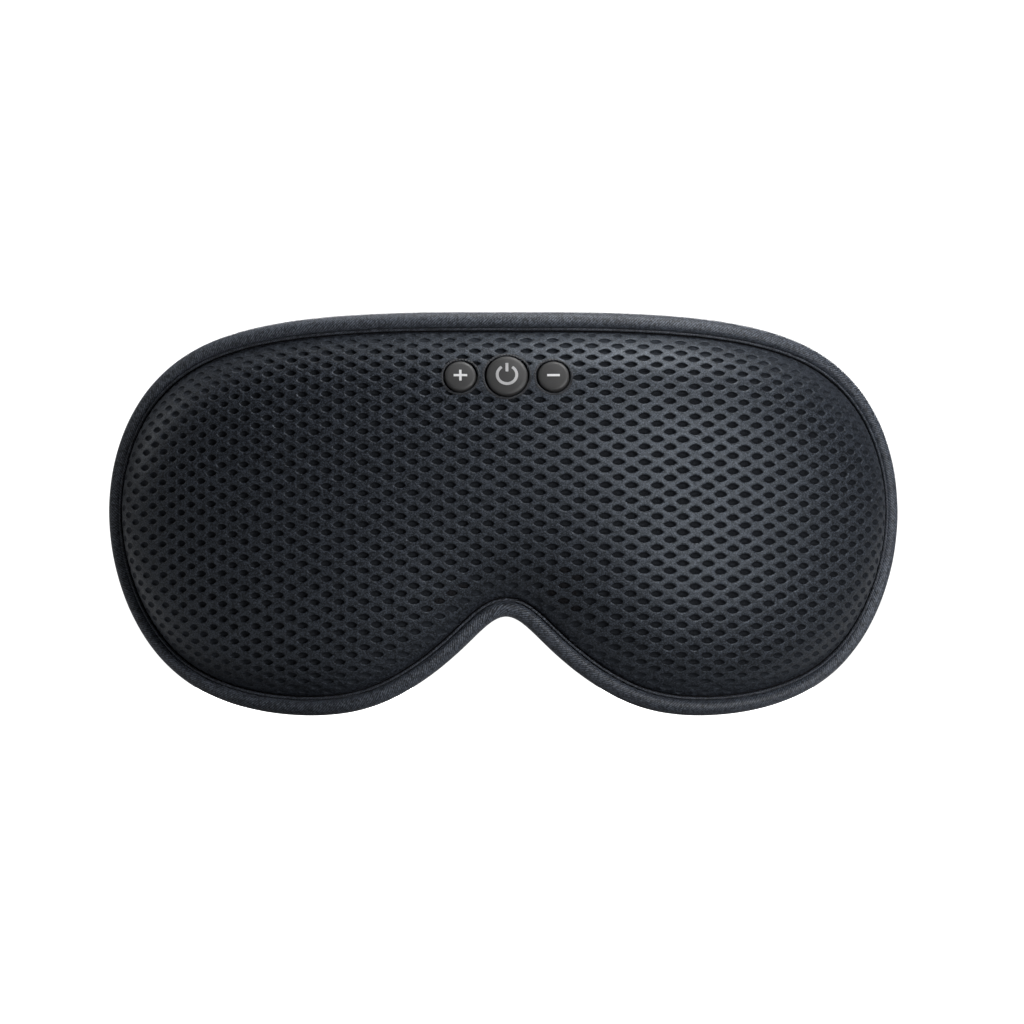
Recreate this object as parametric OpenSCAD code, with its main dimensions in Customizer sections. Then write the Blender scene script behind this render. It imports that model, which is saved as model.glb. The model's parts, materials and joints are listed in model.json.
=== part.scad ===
// Eye massager mask. A padded mesh front carries three buttons above the nose, two eye
// pads face the wearer, and an elastic strap runs round the back of the head.
// +Z is up and the mesh front faces -Y. Left and right are as seen from the front.
// The origin is the centre of the whole object's box, strap included.

/* [Mask] */
// Width of the mask across the front
mask_w = 220; // [200:1:230]
// Height of the mask from the lobes to the top edge
mask_h = 112; // [104:1:120]
// Radius of the wrap round the face, at the seam
wrap_r = 165; // [155:1:185]
// How far the padded front stands out from the seam
dome_h = 14; // [13:0.5:17]
// Distance from the seam over which the front rises
dome_fade = 10; // [9:0.5:11]
// Thickness of the mesh cover
mesh_t = 2.4; // [1.8:0.1:2.6]
// Width of the edge binding, seen from the front
binding_w = 4.3; // [3.5:0.1:5]
// Depth of the edge binding, front to back
binding_t = 6.8; // [5.5:0.1:7.5]

/* [Buttons] */
// Height of the button row above the origin
button_z = 38.5; // [37:0.1:39]
// Distance between neighbouring buttons
button_pitch = 12.9; // [12.5:0.1:14]
// Radius of the power button
power_r = 5.8; // [5:0.1:6.2]
// Radius of the plus and minus buttons
side_r = 4.4; // [4:0.1:4.8]
// Travel of each button
press = 0.5; // [0.3:0.1:0.6]
// Backward tilt of the button row, which follows the dome
button_tilt = 22; // [20:1:23]

/* [Eye pads] */
// Distance of each pad's centre from the middle, measured round the wrap
pad_u = 43; // [42:0.5:46]
// Height of the pad centres
pad_z = -4; // [-6:0.5:-2]
// Half width of a pad
pad_a = 37; // [34:0.5:38]
// Half height of a pad
pad_b = 31; // [28:0.5:32]
// Width of the padded ring round each eye
pad_ring = 13; // [10:0.5:15]
// Thickness of the pads
pad_t = 8.5; // [6:0.5:11]

/* [Massage and heat] */
// Distance of each motor from the middle, measured round the wrap
motor_u = 62; // [55:1:68]
// Height of the motors
motor_z = 8; // [2:1:14]
// Radius of the coin motors
motor_r = 6; // [5:0.5:6]
// Size of the battery cell
battery_size = [40, 5, 26]; // [3:1:42]

/* [Strap] */
// Width of the elastic strap
strap_w = 28; // [22:1:30]
// Thickness of the elastic strap
strap_t = 1.2; // [1:0.1:1.4]
// Inward slope of the strap where it leaves the mask
strap_slope = 15; // [10:1:18]
// Length of the strap's straight stretch at each side
straight_run = 50; // [46:1:60]
// Distance of the strap slider from the left ring
slider_at = 34; // [30:1:36]

/* [Hidden] */

gap = 0.1;          // running clearance between moving and fixed pieces
slack = 0.4;        // free space round a piece laid in a foam pocket
seam_w = 1;         // height of the mesh at its seam
binding_middle = -1.2;  // depth of the middle of the binding
button_clear = 0.45;    // space between a button and the rim of its hole in the mesh
seam_inset = binding_w + 1.2;

// Depths in the wrap's own measure: positive towards the front, zero at the seam.
plate_in = 0.2;
plate_out = 1.7;
film_in = -0.6;
film_out = -0.2;
foam_in = -4.2;
foam_out = -0.8;
foam_floor = 3.5;
lining_in = -6.2;
lining_out = -4.4;
pad_out = lining_in - 0.05;

// Right half of the edge, from the middle of the top down to the nose notch. These are
// the control points of a smooth closed curve; the left half mirrors them.
half_knots = [
  [0, 56], [39, 56.5], [90, 51], [111, 21], [111.5, -17],
  [92.5, -51.5], [51.5, -58], [29.5, -51.5], [11, -37], [0, -24]
];
knot_span = [221.5, 112];  // width and height of the curve those points draw

function mirrored(half) = concat(
  half,
  [for (i = [len(half) - 2:-1:1]) [-half[i].x, half[i].y]]
);
function sized(points) = [
  for (p = points) [p.x * mask_w / knot_span.x, p.y * mask_h / knot_span.y]
];
function spline_at(a, b, c, d, t) =
  (pow(1 - t, 3) * a + (3 * pow(t, 3) - 6 * t * t + 4) * b
    + (-3 * pow(t, 3) + 3 * t * t + 3 * t + 1) * c + pow(t, 3) * d) / 6;
function smooth_loop(knots, steps) = let (n = len(knots)) [
  for (i = [0:n - 1], k = [0:steps - 1])
    spline_at(knots[(i + n - 1) % n], knots[i], knots[(i + 1) % n], knots[(i + 2) % n],
      k / steps)
];

// A flat point [u, z] has u measured round the wrap from the middle.
function wrap_angle(u) = u / wrap_r * 180 / PI;
function unrolled(p) = [asin(p.x / wrap_r) * PI / 180 * wrap_r, p.y];
function place(p, w) = [
  sin(wrap_angle(p.x)) * (wrap_r + w),
  seam_y + wrap_r - cos(wrap_angle(p.x)) * (wrap_r + w),
  p.y
];
function along(points, i) = let (n = len(points))
  points[(i + 1) % n] - points[(i + n - 1) % n];
function inward(points, i) = let (t = along(points, i)) [t.y, -t.x] / norm(t);
function inset(points, d) = [
  for (i = [0:len(points) - 1]) points[i] + inward(points, i) * d
];

edge = [for (p = smooth_loop(mirrored(sized(half_knots)), 4)) unrolled(p)];
mesh_edge = inset(edge, seam_inset);

// The dome: every point of the mesh edge is joined to a level spine inside the mask.
spine_z = 4;
spine_reach = 80;
function spine(p) = [p.x / sqrt(1 + pow(p.x / spine_reach, 2)), spine_z];
function dome(d, reach) =
  seam_w + dome_h * (1 - exp(-d / dome_fade)) / (1 - exp(-reach / dome_fade));
function cover_t(d) = 1 + (mesh_t - 1) * (1 - exp(-d / 3));
function cover_inside(d, reach) = dome(d, reach) - cover_t(d);
levels = [1, 0.965, 0.92, 0.86, 0.74, 0.52, 0.22];
foam_levels = [for (i = [3:len(levels) - 1]) levels[i]];
mesh_top = mesh_edge[0].y;
mesh_reach = mesh_top - spine_z;
dome_front = dome((1 - levels[len(levels) - 1]) * mesh_reach, mesh_reach);

// The strap's path: a straight stretch from each ring, then an arc round the head.
ring_x = 94;
ring_depth = 56;
straight_end = [
  ring_x - straight_run * sin(strap_slope),
  ring_depth + straight_run * cos(strap_slope)
];
head_r = straight_end.x / cos(strap_slope);
head_depth = straight_end.y - head_r * sin(strap_slope);
strap_back = head_depth + head_r + strap_t / 2;
seam_y = (dome_front - strap_back) / 2;

// Faces of a closed sheet of "rows" rings of "n" points over as many rings below it.
function sheet_faces(n, rows) = let (
  half = n / 2,
  quarter = floor(n / 4),
  back = rows * n,
  last = (rows - 1) * n
) concat(
  [for (r = [0:rows - 2], i = [0:n - 1]) let (j = (i + 1) % n)
    each [[r * n + i, r * n + j, (r + 1) * n + j],
      [r * n + i, (r + 1) * n + j, (r + 1) * n + i]]],
  [for (r = [0:rows - 2], i = [0:n - 1]) let (j = (i + 1) % n)
    each [[back + (r + 1) * n + j, back + r * n + j, back + r * n + i],
      [back + (r + 1) * n + i, back + (r + 1) * n + j, back + r * n + i]]],
  [for (i = [0:n - 1]) let (j = (i + 1) % n)
    each [[j, i, back + i], [j, back + i, back + j]]],
  [for (side = [0, 1], i = [0:quarter - 1]) let (
      a = side * half + i,
      b = a + 1,
      c = (half - i - 1 + side * half) % n,
      d = (half - i + side * half) % n
    )
    each concat(
      b == c ? [] : [[last + a, last + b, last + c],
        [back + last + c, back + last + b, back + last + a]],
      [[last + a, last + c, last + d], [back + last + d, back + last + c, back + last + a]]
    )]
);

// A soft sheet over the mesh edge's rays, between two depths given as functions of the
// distance from the edge and the length of the ray.
module soft_sheet(rows, outer, inner) {
  n = len(mesh_edge);
  function ring(s, depth) = [
    for (p = mesh_edge) let (c = spine(p), reach = norm(p - c))
      place(c + (p - c) * s, depth((1 - s) * reach, reach))
  ];
  polyhedron(
    points = concat([for (s = rows) each ring(s, outer)], [for (s = rows) each ring(s, inner)]),
    faces = sheet_faces(n, len(rows))
  );
}

// A band swept round the edge with an oval section, its centre inset from the edge.
module edge_tube(centre_inset, centre_w, half_wide, half_deep, sides) {
  n = len(edge);
  polyhedron(
    points = [for (i = [0:n - 1], k = [0:sides - 1]) let (t = 360 * k / sides)
      place(edge[i] + inward(edge, i) * (centre_inset + half_wide * cos(t)),
        centre_w + half_deep * sin(t))],
    faces = [for (i = [0:n - 1], k = [0:sides - 1]) let (
        j = (i + 1) % n,
        m = (k + 1) % sides,
        a = i * sides + k,
        b = i * sides + m,
        c = j * sides + m,
        d = j * sides + k
      ) each [[a, b, c], [a, c, d]]]
  );
}

// A layer of the wrap between two depths.
module wrap_shell(w_in, w_out) {
  translate([0, seam_y + wrap_r, 0]) difference() {
    cylinder(r = wrap_r + w_out, h = 2 * mask_h, center = true, $fn = 240);
    cylinder(r = wrap_r + w_in, h = 3 * mask_h, center = true, $fn = 240);
  }
}

// The children's outline, pushed through the front half of the mask from front to back.
module through_front() {
  translate([0, seam_y + wrap_r - 60, 0]) rotate([90, 0, 0])
    linear_extrude(wrap_r) children();
}

module wrap_layer(edge_inset, w_in, w_out) {
  w = (w_in + w_out) / 2;
  intersection() {
    wrap_shell(w_in, w_out);
    through_front() polygon([
      for (p = inset(edge, edge_inset)) let (q = place(p, w)) [q.x, q.z]
    ]);
  }
}

// A frame standing on the wrap: its -Y points straight out of the mask.
module on_wrap(u, z, w = 0) {
  translate([0, seam_y + wrap_r, z]) rotate([0, 0, wrap_angle(u)])
    translate([0, -(wrap_r + w), 0]) children();
}

module block(low, high) {
  translate(low) cube(high - low);
}

// A box rounded in the face plane, from depth y0 to depth y1.
module plaque(half_x, z0, z1, r, y0, y1) {
  hull_x = half_x - r;
  translate([0, y1, 0]) rotate([90, 0, 0]) linear_extrude(y1 - y0) union() {
    translate([-half_x, z0 + r]) square([2 * half_x, z1 - z0 - 2 * r]);
    translate([-hull_x, z0]) square([2 * hull_x, z1 - z0]);
    for (sx = [-1, 1], z = [z0 + r, z1 - r]) translate([sx * hull_x, z]) circle(r, $fn = 32);
  }
}

module drum(r, y0, y1, sides = 64) {
  translate([0, y0, 0]) rotate([-90, 0, 0]) cylinder(r = r, h = y1 - y0, $fn = sides);
}

function oval(a, b, steps = 48) = [
  for (i = [0:steps - 1]) let (t = 360 * i / steps) [a * cos(t), b * sin(t)]
];

// ---- Soft layers ----

module front_mesh() {
  color([0.16, 0.17, 0.19]) difference() {
    soft_sheet(levels, function (d, reach) dome(d, reach),
      function (d, reach) cover_inside(d, reach));
    on_face() for (b = buttons) translate([b.x, 0, 0]) drum(b.y + button_clear, -8, 8);
  }
}

module front_foam() {
  color([0.1, 0.1, 0.11]) difference() {
    soft_sheet(foam_levels, function (d, reach) cover_inside(d, reach) - 0.15,
      function (d, reach) foam_floor);
    on_face() {
      controller_space(slack);
      block([-shell_x - slack, -8, shell_z[0] - slack], [shell_x + slack, base_y, 20]);
    }
    on_wrap(0, battery_z) block(
      [-battery_size.x / 2 - 4, -battery_out - slack, -battery_size.z / 2 - slack],
      [battery_size.x / 2 + 4, 0, battery_size.z / 2 + 8]
    );
    for (side = [-1, 1]) motor_frame(side) translate([0, 0, -2])
      cylinder(r = holder_r + slack, h = holder_h + 2 + slack, $fn = 48);
  }
}

module edge_binding() {
  color([0.24, 0.25, 0.28])
    edge_tube(binding_w / 2, binding_middle, binding_w / 2, binding_t / 2, 12);
}

module seam_piping() {
  color([0.2, 0.21, 0.23]) edge_tube(binding_w + 0.6, 1.2, 0.45, 0.55, 8);
}

module carrier_plate() {
  color([0.3, 0.3, 0.32]) difference() {
    wrap_layer(seam_inset + 4, plate_in, plate_out);
    on_face() controller_space(slack);
  }
}

module back_foam() {
  color([0.12, 0.12, 0.13]) difference() {
    wrap_layer(binding_w + 1, foam_in, foam_out);
    on_face() controller_space(slack);
  }
}

module back_lining() {
  color([0.13, 0.13, 0.15]) difference() {
    wrap_layer(binding_w + 0.8, lining_in, lining_out);
    on_face() snout_space(slack);
  }
}

module eye_pad(side) {
  color([0.11, 0.11, 0.12]) intersection() {
    wrap_shell(pad_out - pad_t, pad_out);
    on_wrap(side * pad_u, pad_z, 20) rotate([-90, 0, 0]) linear_extrude(60) difference() {
      polygon(oval(pad_a, pad_b));
      polygon(oval(pad_a - pad_ring, pad_b - pad_ring));
    }
  }
}
module left_eye_pad() { eye_pad(-1); }
module right_eye_pad() { eye_pad(1); }

// ---- Controller ----
// The controller is drawn in the button row's frame: y goes in from the mesh surface,
// x to the right and z up the tilted face.

face_w = dome(mesh_top - button_z, mesh_reach);
module on_face() {
  translate([0, seam_y - face_w, button_z]) rotate([-button_tilt, 0, 0]) children();
}

shell_x = 22.5;             // half width of the controller housing
shell_z = [-8.4, 7.4];      // its lower and upper edges
cavity_x = 18.6;            // half width of the space inside it
front_y = 3.4;              // front of the housing, under the mesh
bezel_y = 5.2;              // inside of the housing's front wall
split_y = 8.3;              // where its two halves meet
floor_y = 10.4;             // inside of its back wall
base_y = 11.4;              // back of the housing
snout_y = 19.6;             // mouth of the charging port
screw_x = 20.4;
screw_z = 4.2;
buttons = [[-button_pitch, side_r], [0, power_r], [button_pitch, side_r]];

module controller_space(extra) {
  block([-shell_x - extra, front_y - extra, shell_z[0] - extra],
    [shell_x + extra, base_y + extra, shell_z[1] + extra]);
  snout_space(extra);
}
module snout_space(extra) {
  block([-snout_x - extra, base_y - 1, -snout_z - extra],
    [snout_x + extra, snout_y + 3, anchor_z + extra]);
}

module curved_front(y) {
  translate([0, y + wrap_r, 0]) cylinder(r = wrap_r, h = 60, center = true, $fn = 240);
}

module housing_front() {
  color([0.08, 0.08, 0.09]) on_face() difference() {
    intersection() {
      plaque(shell_x, shell_z[0], shell_z[1], 2.5, front_y, split_y);
      curved_front(front_y);
      translate([0, front_y + 7, -0.5]) rotate([45, 0, 0]) cube([80, 16.6, 16.6], center = true);
    }
    block([-cavity_x, bezel_y, shell_z[0] + 1], [cavity_x, split_y + 1, shell_z[1] - 1]);
    for (b = buttons) translate([b.x, 0, 0]) drum(b.y + gap, 0, 8);
    for (sx = [-1, 1], sz = [-1, 1]) translate([sx * screw_x, 0, sz * screw_z])
      drum(0.7, split_y - 2, split_y + 1, 24);
  }
}

snout_x = 6.3;
snout_z = 3.5;
anchor_z = 7.6;             // top of the boss that holds the port flap
port_x = 4.47;              // half width of the charging port's shell
port_z = 1.63;              // half height of the charging port's shell

module slot(half_x, half_z, y0, y1) {
  plaque(half_x, -half_z, half_z, half_z - 0.01, y0, y1);
}

module housing_base() {
  color([0.08, 0.08, 0.09]) on_face() difference() {
    union() {
      plaque(shell_x, shell_z[0], shell_z[1], 2.5, split_y, base_y);
      plaque(snout_x, -snout_z, snout_z, 1.5, base_y, snout_y);
      plaque(4.5, snout_z - 1.5, anchor_z, 1, snout_y - 2.4, snout_y);
    }
    block([-cavity_x, split_y - 1, shell_z[0] + 1], [cavity_x, floor_y, shell_z[1] - 1]);
    slot(port_x + gap, port_z + gap, floor_y - 1, snout_y + 1);
    translate([0, 0, peg_z]) drum(0.9, snout_y - 1.8, snout_y + 1, 24);
    for (sx = [-1, 1], sz = [-1, 1]) translate([sx * screw_x, 0, sz * screw_z]) {
      drum(0.8, split_y - 1, base_y + 1, 24);
      drum(1.6, base_y - 0.9, base_y + 1, 24);
    }
    for (sx = [-1, 1]) block([sx * screw_x - 3, split_y + 0.7, -1],
      [sx * screw_x + 3, base_y - 0.2, 2.1]);
    block([-3.2, split_y + 0.1, shell_z[0] - 1], [3.2, split_y + 2, shell_z[0] + 2]);
  }
}

module housing_screws() {
  color([0.6, 0.6, 0.62]) on_face()
    for (sx = [-1, 1], sz = [-1, 1]) translate([sx * screw_x, 0, sz * screw_z]) difference() {
      union() {
        drum(0.66, split_y - 1.9, base_y - 0.8, 24);
        drum(1.45, base_y - 0.85, base_y - 0.05, 24);
      }
      for (a = [0, 90]) rotate([0, a, 0])
        block([-0.9, base_y - 0.35, -0.15], [0.9, base_y, 0.15]);
    }
}

crown_r = 36;               // radius of the buttons' domed faces
cap_y = -0.8;               // top of the domed face
function sag(x) = x * x / (2 * (wrap_r + face_w));

module at_button(i) {
  on_face() translate([buttons[i].x, 0, 0]) children();
}

module cap(i) {
  r = buttons[i].y;
  top = cap_y + sag(buttons[i].x);
  color([0.2, 0.2, 0.21]) at_button(i) {
    intersection() {
      drum(r, top, bezel_y + 0.4);
      translate([0, top + crown_r, 0]) sphere(crown_r, $fn = 96);
      translate([0, top, 0]) rotate([-90, 0, 0]) cylinder(r1 = r - 0.5, r2 = r + 8, h = 8.5, $fn = 64);
    }
    intersection() {
      drum(r + 0.9, bezel_y + 0.05, bezel_y + 0.7);
      block([-r - 2, bezel_y, -2.2], [r + 2, bezel_y + 1, 2.2]);
    }
    drum(1.2, bezel_y + 0.3, bezel_y + 0.9, 32);
  }
}
module plus_button() { cap(0); }
module power_button() { cap(1); }
module minus_button() { cap(2); }

sign_line = 0.68;           // width of the lines of the plus and minus signs

// A sign printed on a button's domed face.
module sign_on(i) {
  top = cap_y + sag(buttons[i].x);
  color([0.75, 0.75, 0.77]) at_button(i) intersection() {
    difference() {
      translate([0, top + crown_r, 0]) sphere(crown_r + 0.06, $fn = 96);
      translate([0, top + crown_r, 0]) sphere(crown_r, $fn = 96);
    }
    translate([0, top + 1, 0]) rotate([90, 0, 0]) linear_extrude(2) children();
  }
}
module plus_symbol() {
  sign_on(0) union() {
    square([3.8, sign_line], center = true);
    square([sign_line, 3.2], center = true);
  }
}
module power_symbol() {
  sign_on(1) union() {
    difference() {
      circle(3.1, $fn = 64);
      circle(2.3, $fn = 64);
      polygon([[0, 0], [-3.2, 5], [3.2, 5]]);
    }
    translate([-0.4, 0.9]) square([0.8, 2.6]);
  }
}
module minus_symbol() {
  sign_on(2) square([3.5, sign_line], center = true);
}

stem_y = bezel_y + 0.95;    // tip of each switch's stem, just clear of its button
switch_y = stem_y + press + 0.1;
module switch_stem(i) {
  color([0.85, 0.85, 0.82]) at_button(i) drum(0.8, stem_y, stem_y + 1.3, 32);
}
module plus_switch_stem() { switch_stem(0); }
module power_switch_stem() { switch_stem(1); }
module minus_switch_stem() { switch_stem(2); }

module switch_bodies() {
  color([0.7, 0.7, 0.68]) for (i = [0:2]) at_button(i) difference() {
    block([-1.9, switch_y, -1.9], [1.9, board_y, 1.9]);
    drum(0.8 + gap, switch_y - 1, stem_y + 1.3 + press + 0.1, 32);
  }
}

board_y = split_y + 0.35;
module main_board() {
  color([0.05, 0.25, 0.15]) on_face()
    plaque(cavity_x - 0.3, shell_z[0] + 1.3, shell_z[1] - 1.3, 0.8, board_y, board_y + 0.8);
}

module board_components() {
  chips = [[-12, 2, 2.5], [12.5, -1, 1.8], [-8.5, -4, 1.2], [9, 3.5, 1], [14.5, 3.6, 1.2]];
  color([0.1, 0.1, 0.1]) on_face() for (c = chips)
    block([c[0] - c[2], board_y + 0.8, c[1] - c[2] * 0.7],
      [c[0] + c[2], board_y + 1.5, c[1] + c[2] * 0.7]);
}

module charge_port() {
  color([0.7, 0.7, 0.72]) on_face() difference() {
    slot(port_x, port_z, board_y + 0.8, snout_y - 0.8);
    slot(port_x - 0.3, port_z - 0.3, board_y + 2, snout_y);
  }
}

module charge_port_tongue() {
  color([0.05, 0.05, 0.05]) on_face()
    block([-3.3, board_y + 2, -0.35], [3.3, snout_y - 1.6, 0.35]);
}

flap_top = 4.3;
peg_z = 6.1;
module port_flap() {
  color([0.09, 0.09, 0.1]) on_face()
    plaque(6.6, -snout_z - 0.4, flap_top, 1.6, snout_y + 0.05, snout_y + 1.15);
}

module port_flap_hinge() {
  color([0.09, 0.09, 0.1]) on_face() {
    block([-3.4, snout_y + 0.15, flap_top + 0.05], [3.4, snout_y + 0.75, anchor_z - 0.3]);
    translate([0, 0, peg_z]) drum(0.85, snout_y - 1.7, snout_y + 0.4, 24);
  }
}

// ---- Battery, heat and massage ----

battery_z = 8;
battery_in = plate_out + 0.3;
battery_out = battery_in + battery_size.y;

module battery_cell() {
  color([0.6, 0.62, 0.65]) on_wrap(0, battery_z) translate([0, -battery_in, 0])
    plaque(battery_size.x / 2, -battery_size.z / 2, battery_size.z / 2, 1.5,
      -battery_size.y, 0);
}

lead_top = button_z - 10.5;  // where the battery's leads meet the board
module battery_leads() {
  low = battery_z + battery_size.z / 2 + 0.05;
  color([0.6, 0.1, 0.1]) for (sx = [-1, 1]) translate([sx * 1.5, seam_y - 5.3, low])
    cylinder(r = 0.5, h = lead_top - low, $fn = 24);
}

heater_size = [58, 40];
module heater_film(side) {
  color([0.75, 0.5, 0.2]) intersection() {
    wrap_shell(film_in, film_out);
    on_wrap(side * pad_u, pad_z, 20) rotate([-90, 0, 0]) linear_extrude(60)
      square(heater_size, center = true);
  }
}
module left_heater_film() { heater_film(-1); }
module right_heater_film() { heater_film(1); }

// A flat lead runs from the side of the controller to each motor, over the carrier plate.
lead_w = [2.3, 2.9];        // depths of the lead's two faces
lead_z = button_z - 3;      // where it leaves the controller
lead_wide = 2.2;
module wiring(side) {
  start = 18.6;
  mid = place([motor_u, 0], lead_w[0]).x;
  color([0.15, 0.15, 0.5]) intersection() {
    wrap_shell(lead_w[0], lead_w[1]);
    mirror([side < 0 ? 1 : 0, 0, 0]) through_front() union() {
      translate([start, lead_z - lead_wide / 2])
        square([mid + lead_wide / 2 - start, lead_wide]);
      translate([mid - lead_wide / 2, motor_z + holder_r + 0.3])
        square([lead_wide, lead_z - motor_z - holder_r - 0.3]);
    }
  }
}
module left_wiring() { wiring(-1); }
module right_wiring() { wiring(1); }

holder_r = motor_r + 1.4;
holder_h = 4.2;
rotor_gap = 0.05;

// The motors stand on the carrier plate, with z pointing out of the mask.
module motor_frame(side) {
  on_wrap(side * motor_u, motor_z, plate_out + 0.05) rotate([90, 0, 0]) children();
}
module motor_holder(side) {
  color([0.2, 0.2, 0.2]) motor_frame(side) difference() {
    cylinder(r = holder_r, h = holder_h, $fn = 48);
    translate([0, 0, 0.6]) cylinder(r = motor_r + 0.05, h = holder_h, $fn = 48);
  }
}
module motor_base(side) {
  color([0.7, 0.7, 0.7]) motor_frame(side) translate([0, 0, 0.65])
    cylinder(r = motor_r, h = 0.4, $fn = 48);
}
module motor_magnet(side) {
  color([0.3, 0.3, 0.32]) motor_frame(side) translate([0, 0, 1.05]) difference() {
    cylinder(r = 3.6, h = 0.6, $fn = 48);
    translate([0, 0, -1]) cylinder(r = 1.4, h = 3, $fn = 32);
  }
}
module motor_shaft(side) {
  color([0.8, 0.8, 0.82]) motor_frame(side) translate([0, 0, 1.05])
    cylinder(r = 0.4, h = 2.7, $fn = 24);
}
module motor_rotor(side) {
  color([0.5, 0.45, 0.3]) motor_frame(side) translate([0, 0, 2]) difference() {
    union() {
      cylinder(r = 1.3, h = 1.5, $fn = 32);
      intersection() {
        cylinder(r = motor_r - 0.9, h = 1.3, $fn = 48);
        translate([-motor_r, 0, -1]) cube([2 * motor_r, motor_r, 4]);
      }
    }
    translate([0, 0, -1]) cylinder(r = 0.4 + rotor_gap, h = 4, $fn = 24);
  }
}
module motor_cover(side) {
  color([0.75, 0.75, 0.76]) motor_frame(side) translate([0, 0, 1.05]) difference() {
    cylinder(r = motor_r, h = 3, $fn = 48);
    translate([0, 0, -1]) cylinder(r = motor_r - 0.3, h = 3.75, $fn = 48);
  }
}
module left_motor_holder() { motor_holder(-1); }
module left_motor_base() { motor_base(-1); }
module left_motor_magnet() { motor_magnet(-1); }
module left_motor_shaft() { motor_shaft(-1); }
module left_motor_rotor() { motor_rotor(-1); }
module left_motor_cover() { motor_cover(-1); }
module right_motor_holder() { motor_holder(1); }
module right_motor_base() { motor_base(1); }
module right_motor_magnet() { motor_magnet(1); }
module right_motor_shaft() { motor_shaft(1); }
module right_motor_rotor() { motor_rotor(1); }
module right_motor_cover() { motor_cover(1); }

// ---- Strap ----
// Each side is drawn in the ring's frame: y runs back along the strap, x outwards.

bar_r = 1;                            // radius of the rings' wire
loop_in = bar_r + gap;                // inside of the strap's turn round a bar
loop_out = loop_in + strap_t;
bar_x = -(loop_in + strap_t / 2);     // the bars sit just inside the strap
tab_bar_y = -9;                       // the ring's other bar, held by the tab
ring_z = strap_w / 2 + 1.6;

module at_ring(side) {
  mirror([side < 0 ? 1 : 0, 0, 0]) translate([ring_x, seam_y + ring_depth, 0])
    rotate([0, 0, strap_slope]) children();
}

module strap_ring(side) {
  color([0.12, 0.12, 0.13]) at_ring(side) translate([bar_x, 0, 0]) {
    for (y = [0, tab_bar_y]) translate([0, y, 0])
      cylinder(r = bar_r, h = 2 * ring_z, center = true, $fn = 32);
    for (z = [-ring_z, ring_z]) {
      translate([0, 0, z]) rotate([90, 0, 0]) cylinder(r = bar_r, h = -tab_bar_y, $fn = 32);
      for (y = [0, tab_bar_y]) translate([0, y, z]) sphere(bar_r, $fn = 32);
    }
  }
}
module left_strap_ring() { strap_ring(-1); }
module right_strap_ring() { strap_ring(1); }

module webbing() {
  translate([0, 0, -strap_w / 2]) linear_extrude(strap_w) children();
}

// A webbing tab folded round the ring's bar and sewn to the lining.
module strap_tab(side) {
  base_u = [100, 111.5];
  sewn_in = lining_in - 1.25;
  sewn_out = lining_in - 0.05;
  color([0.1, 0.1, 0.11]) {
    intersection() {
      translate([0, seam_y + wrap_r, 0])
        cylinder(r = wrap_r + sewn_out - 0.4, h = mask_h, center = true, $fn = 240);
      at_ring(side) webbing() difference() {
        union() {
          translate([bar_x, tab_bar_y]) circle(loop_out, $fn = 48);
          translate([bar_x - strap_t, tab_bar_y - 14]) square([2 * strap_t, 12.5]);
        }
        translate([bar_x, tab_bar_y]) circle(loop_in, $fn = 32);
      }
    }
    intersection() {
      wrap_shell(sewn_in, sewn_out);
      mirror([side < 0 ? 1 : 0, 0, 0]) block(
        [place([base_u[0], 0], sewn_in).x, seam_y, -strap_w / 2],
        [place([base_u[1], 0], sewn_in).x, seam_y + 80, strap_w / 2]
      );
    }
  }
}
module left_strap_tab() { strap_tab(-1); }
module right_strap_tab() { strap_tab(1); }

// A strip of webbing drawn in plan: the path's two sides, half a thickness away.
function unit(v) = v / norm(v);
function side_way(path, i) = let (
  last = len(path) - 1,
  t = unit(path[min(i + 1, last)] - path[max(i - 1, 0)])
) [-t.y, t.x];
function strip(path, t) = concat(
  [for (i = [0:len(path) - 1]) path[i] + side_way(path, i) * t / 2],
  [for (i = [len(path) - 1:-1:0]) path[i] - side_way(path, i) * t / 2]
);
function turn(centre, r, from, to, step) = [
  for (a = [from:(to > from ? step : -step):to]) centre + r * [cos(a), sin(a)]
];
function off_ring(side, p) = [
  side * (ring_x + p.x * cos(strap_slope) - p.y * sin(strap_slope)),
  seam_y + ring_depth + p.x * sin(strap_slope) + p.y * cos(strap_slope)
];

loop_r = loop_in + strap_t / 2;
sewn_x = -strap_t - 0.05;             // the sewn-down end lies just inside the strap
module strap_band() {
  right_end = concat(
    [[sewn_x, 20], [sewn_x, 14], [sewn_x, 8], [bar_x - loop_r, 1.5]],
    turn([bar_x, 0], loop_r, 180, 360, 15)
  );
  left_end = turn([bar_x, 0], loop_r, 360, 180, 15);
  path = concat(
    [for (p = right_end) off_ring(1, p)],
    [off_ring(1, [0, straight_run / 2])],
    turn([0, seam_y + head_depth], head_r, strap_slope, 180 - strap_slope, 5),
    [off_ring(-1, [0, straight_run / 2])],
    [for (p = left_end) off_ring(-1, p)]
  );
  color([0.1, 0.1, 0.11]) webbing() polygon(strip(path, strap_t));
}

slider_bar_r = 0.9;
return_x = -strap_t / 2 - 0.35;       // outer face of the strap's return layer
slider_bar_x = return_x - strap_t - slider_bar_r - gap;

// The doubled layer between the left ring and the slider's bar.
module strap_return() {
  bar_turn = slider_bar_r + gap + strap_t / 2;
  path = concat(
    [[bar_x - loop_r, 0.2], [bar_x - loop_r, 1.5], [return_x - strap_t / 2, 9]],
    [[return_x - strap_t / 2, slider_at / 2]],
    turn([slider_bar_x, slider_at], bar_turn, 0, 180, 15),
    [[slider_bar_x - bar_turn, slider_at - 5]]
  );
  color([0.1, 0.1, 0.11]) at_ring(-1) webbing() polygon(strip(path, strap_t));
}

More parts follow.
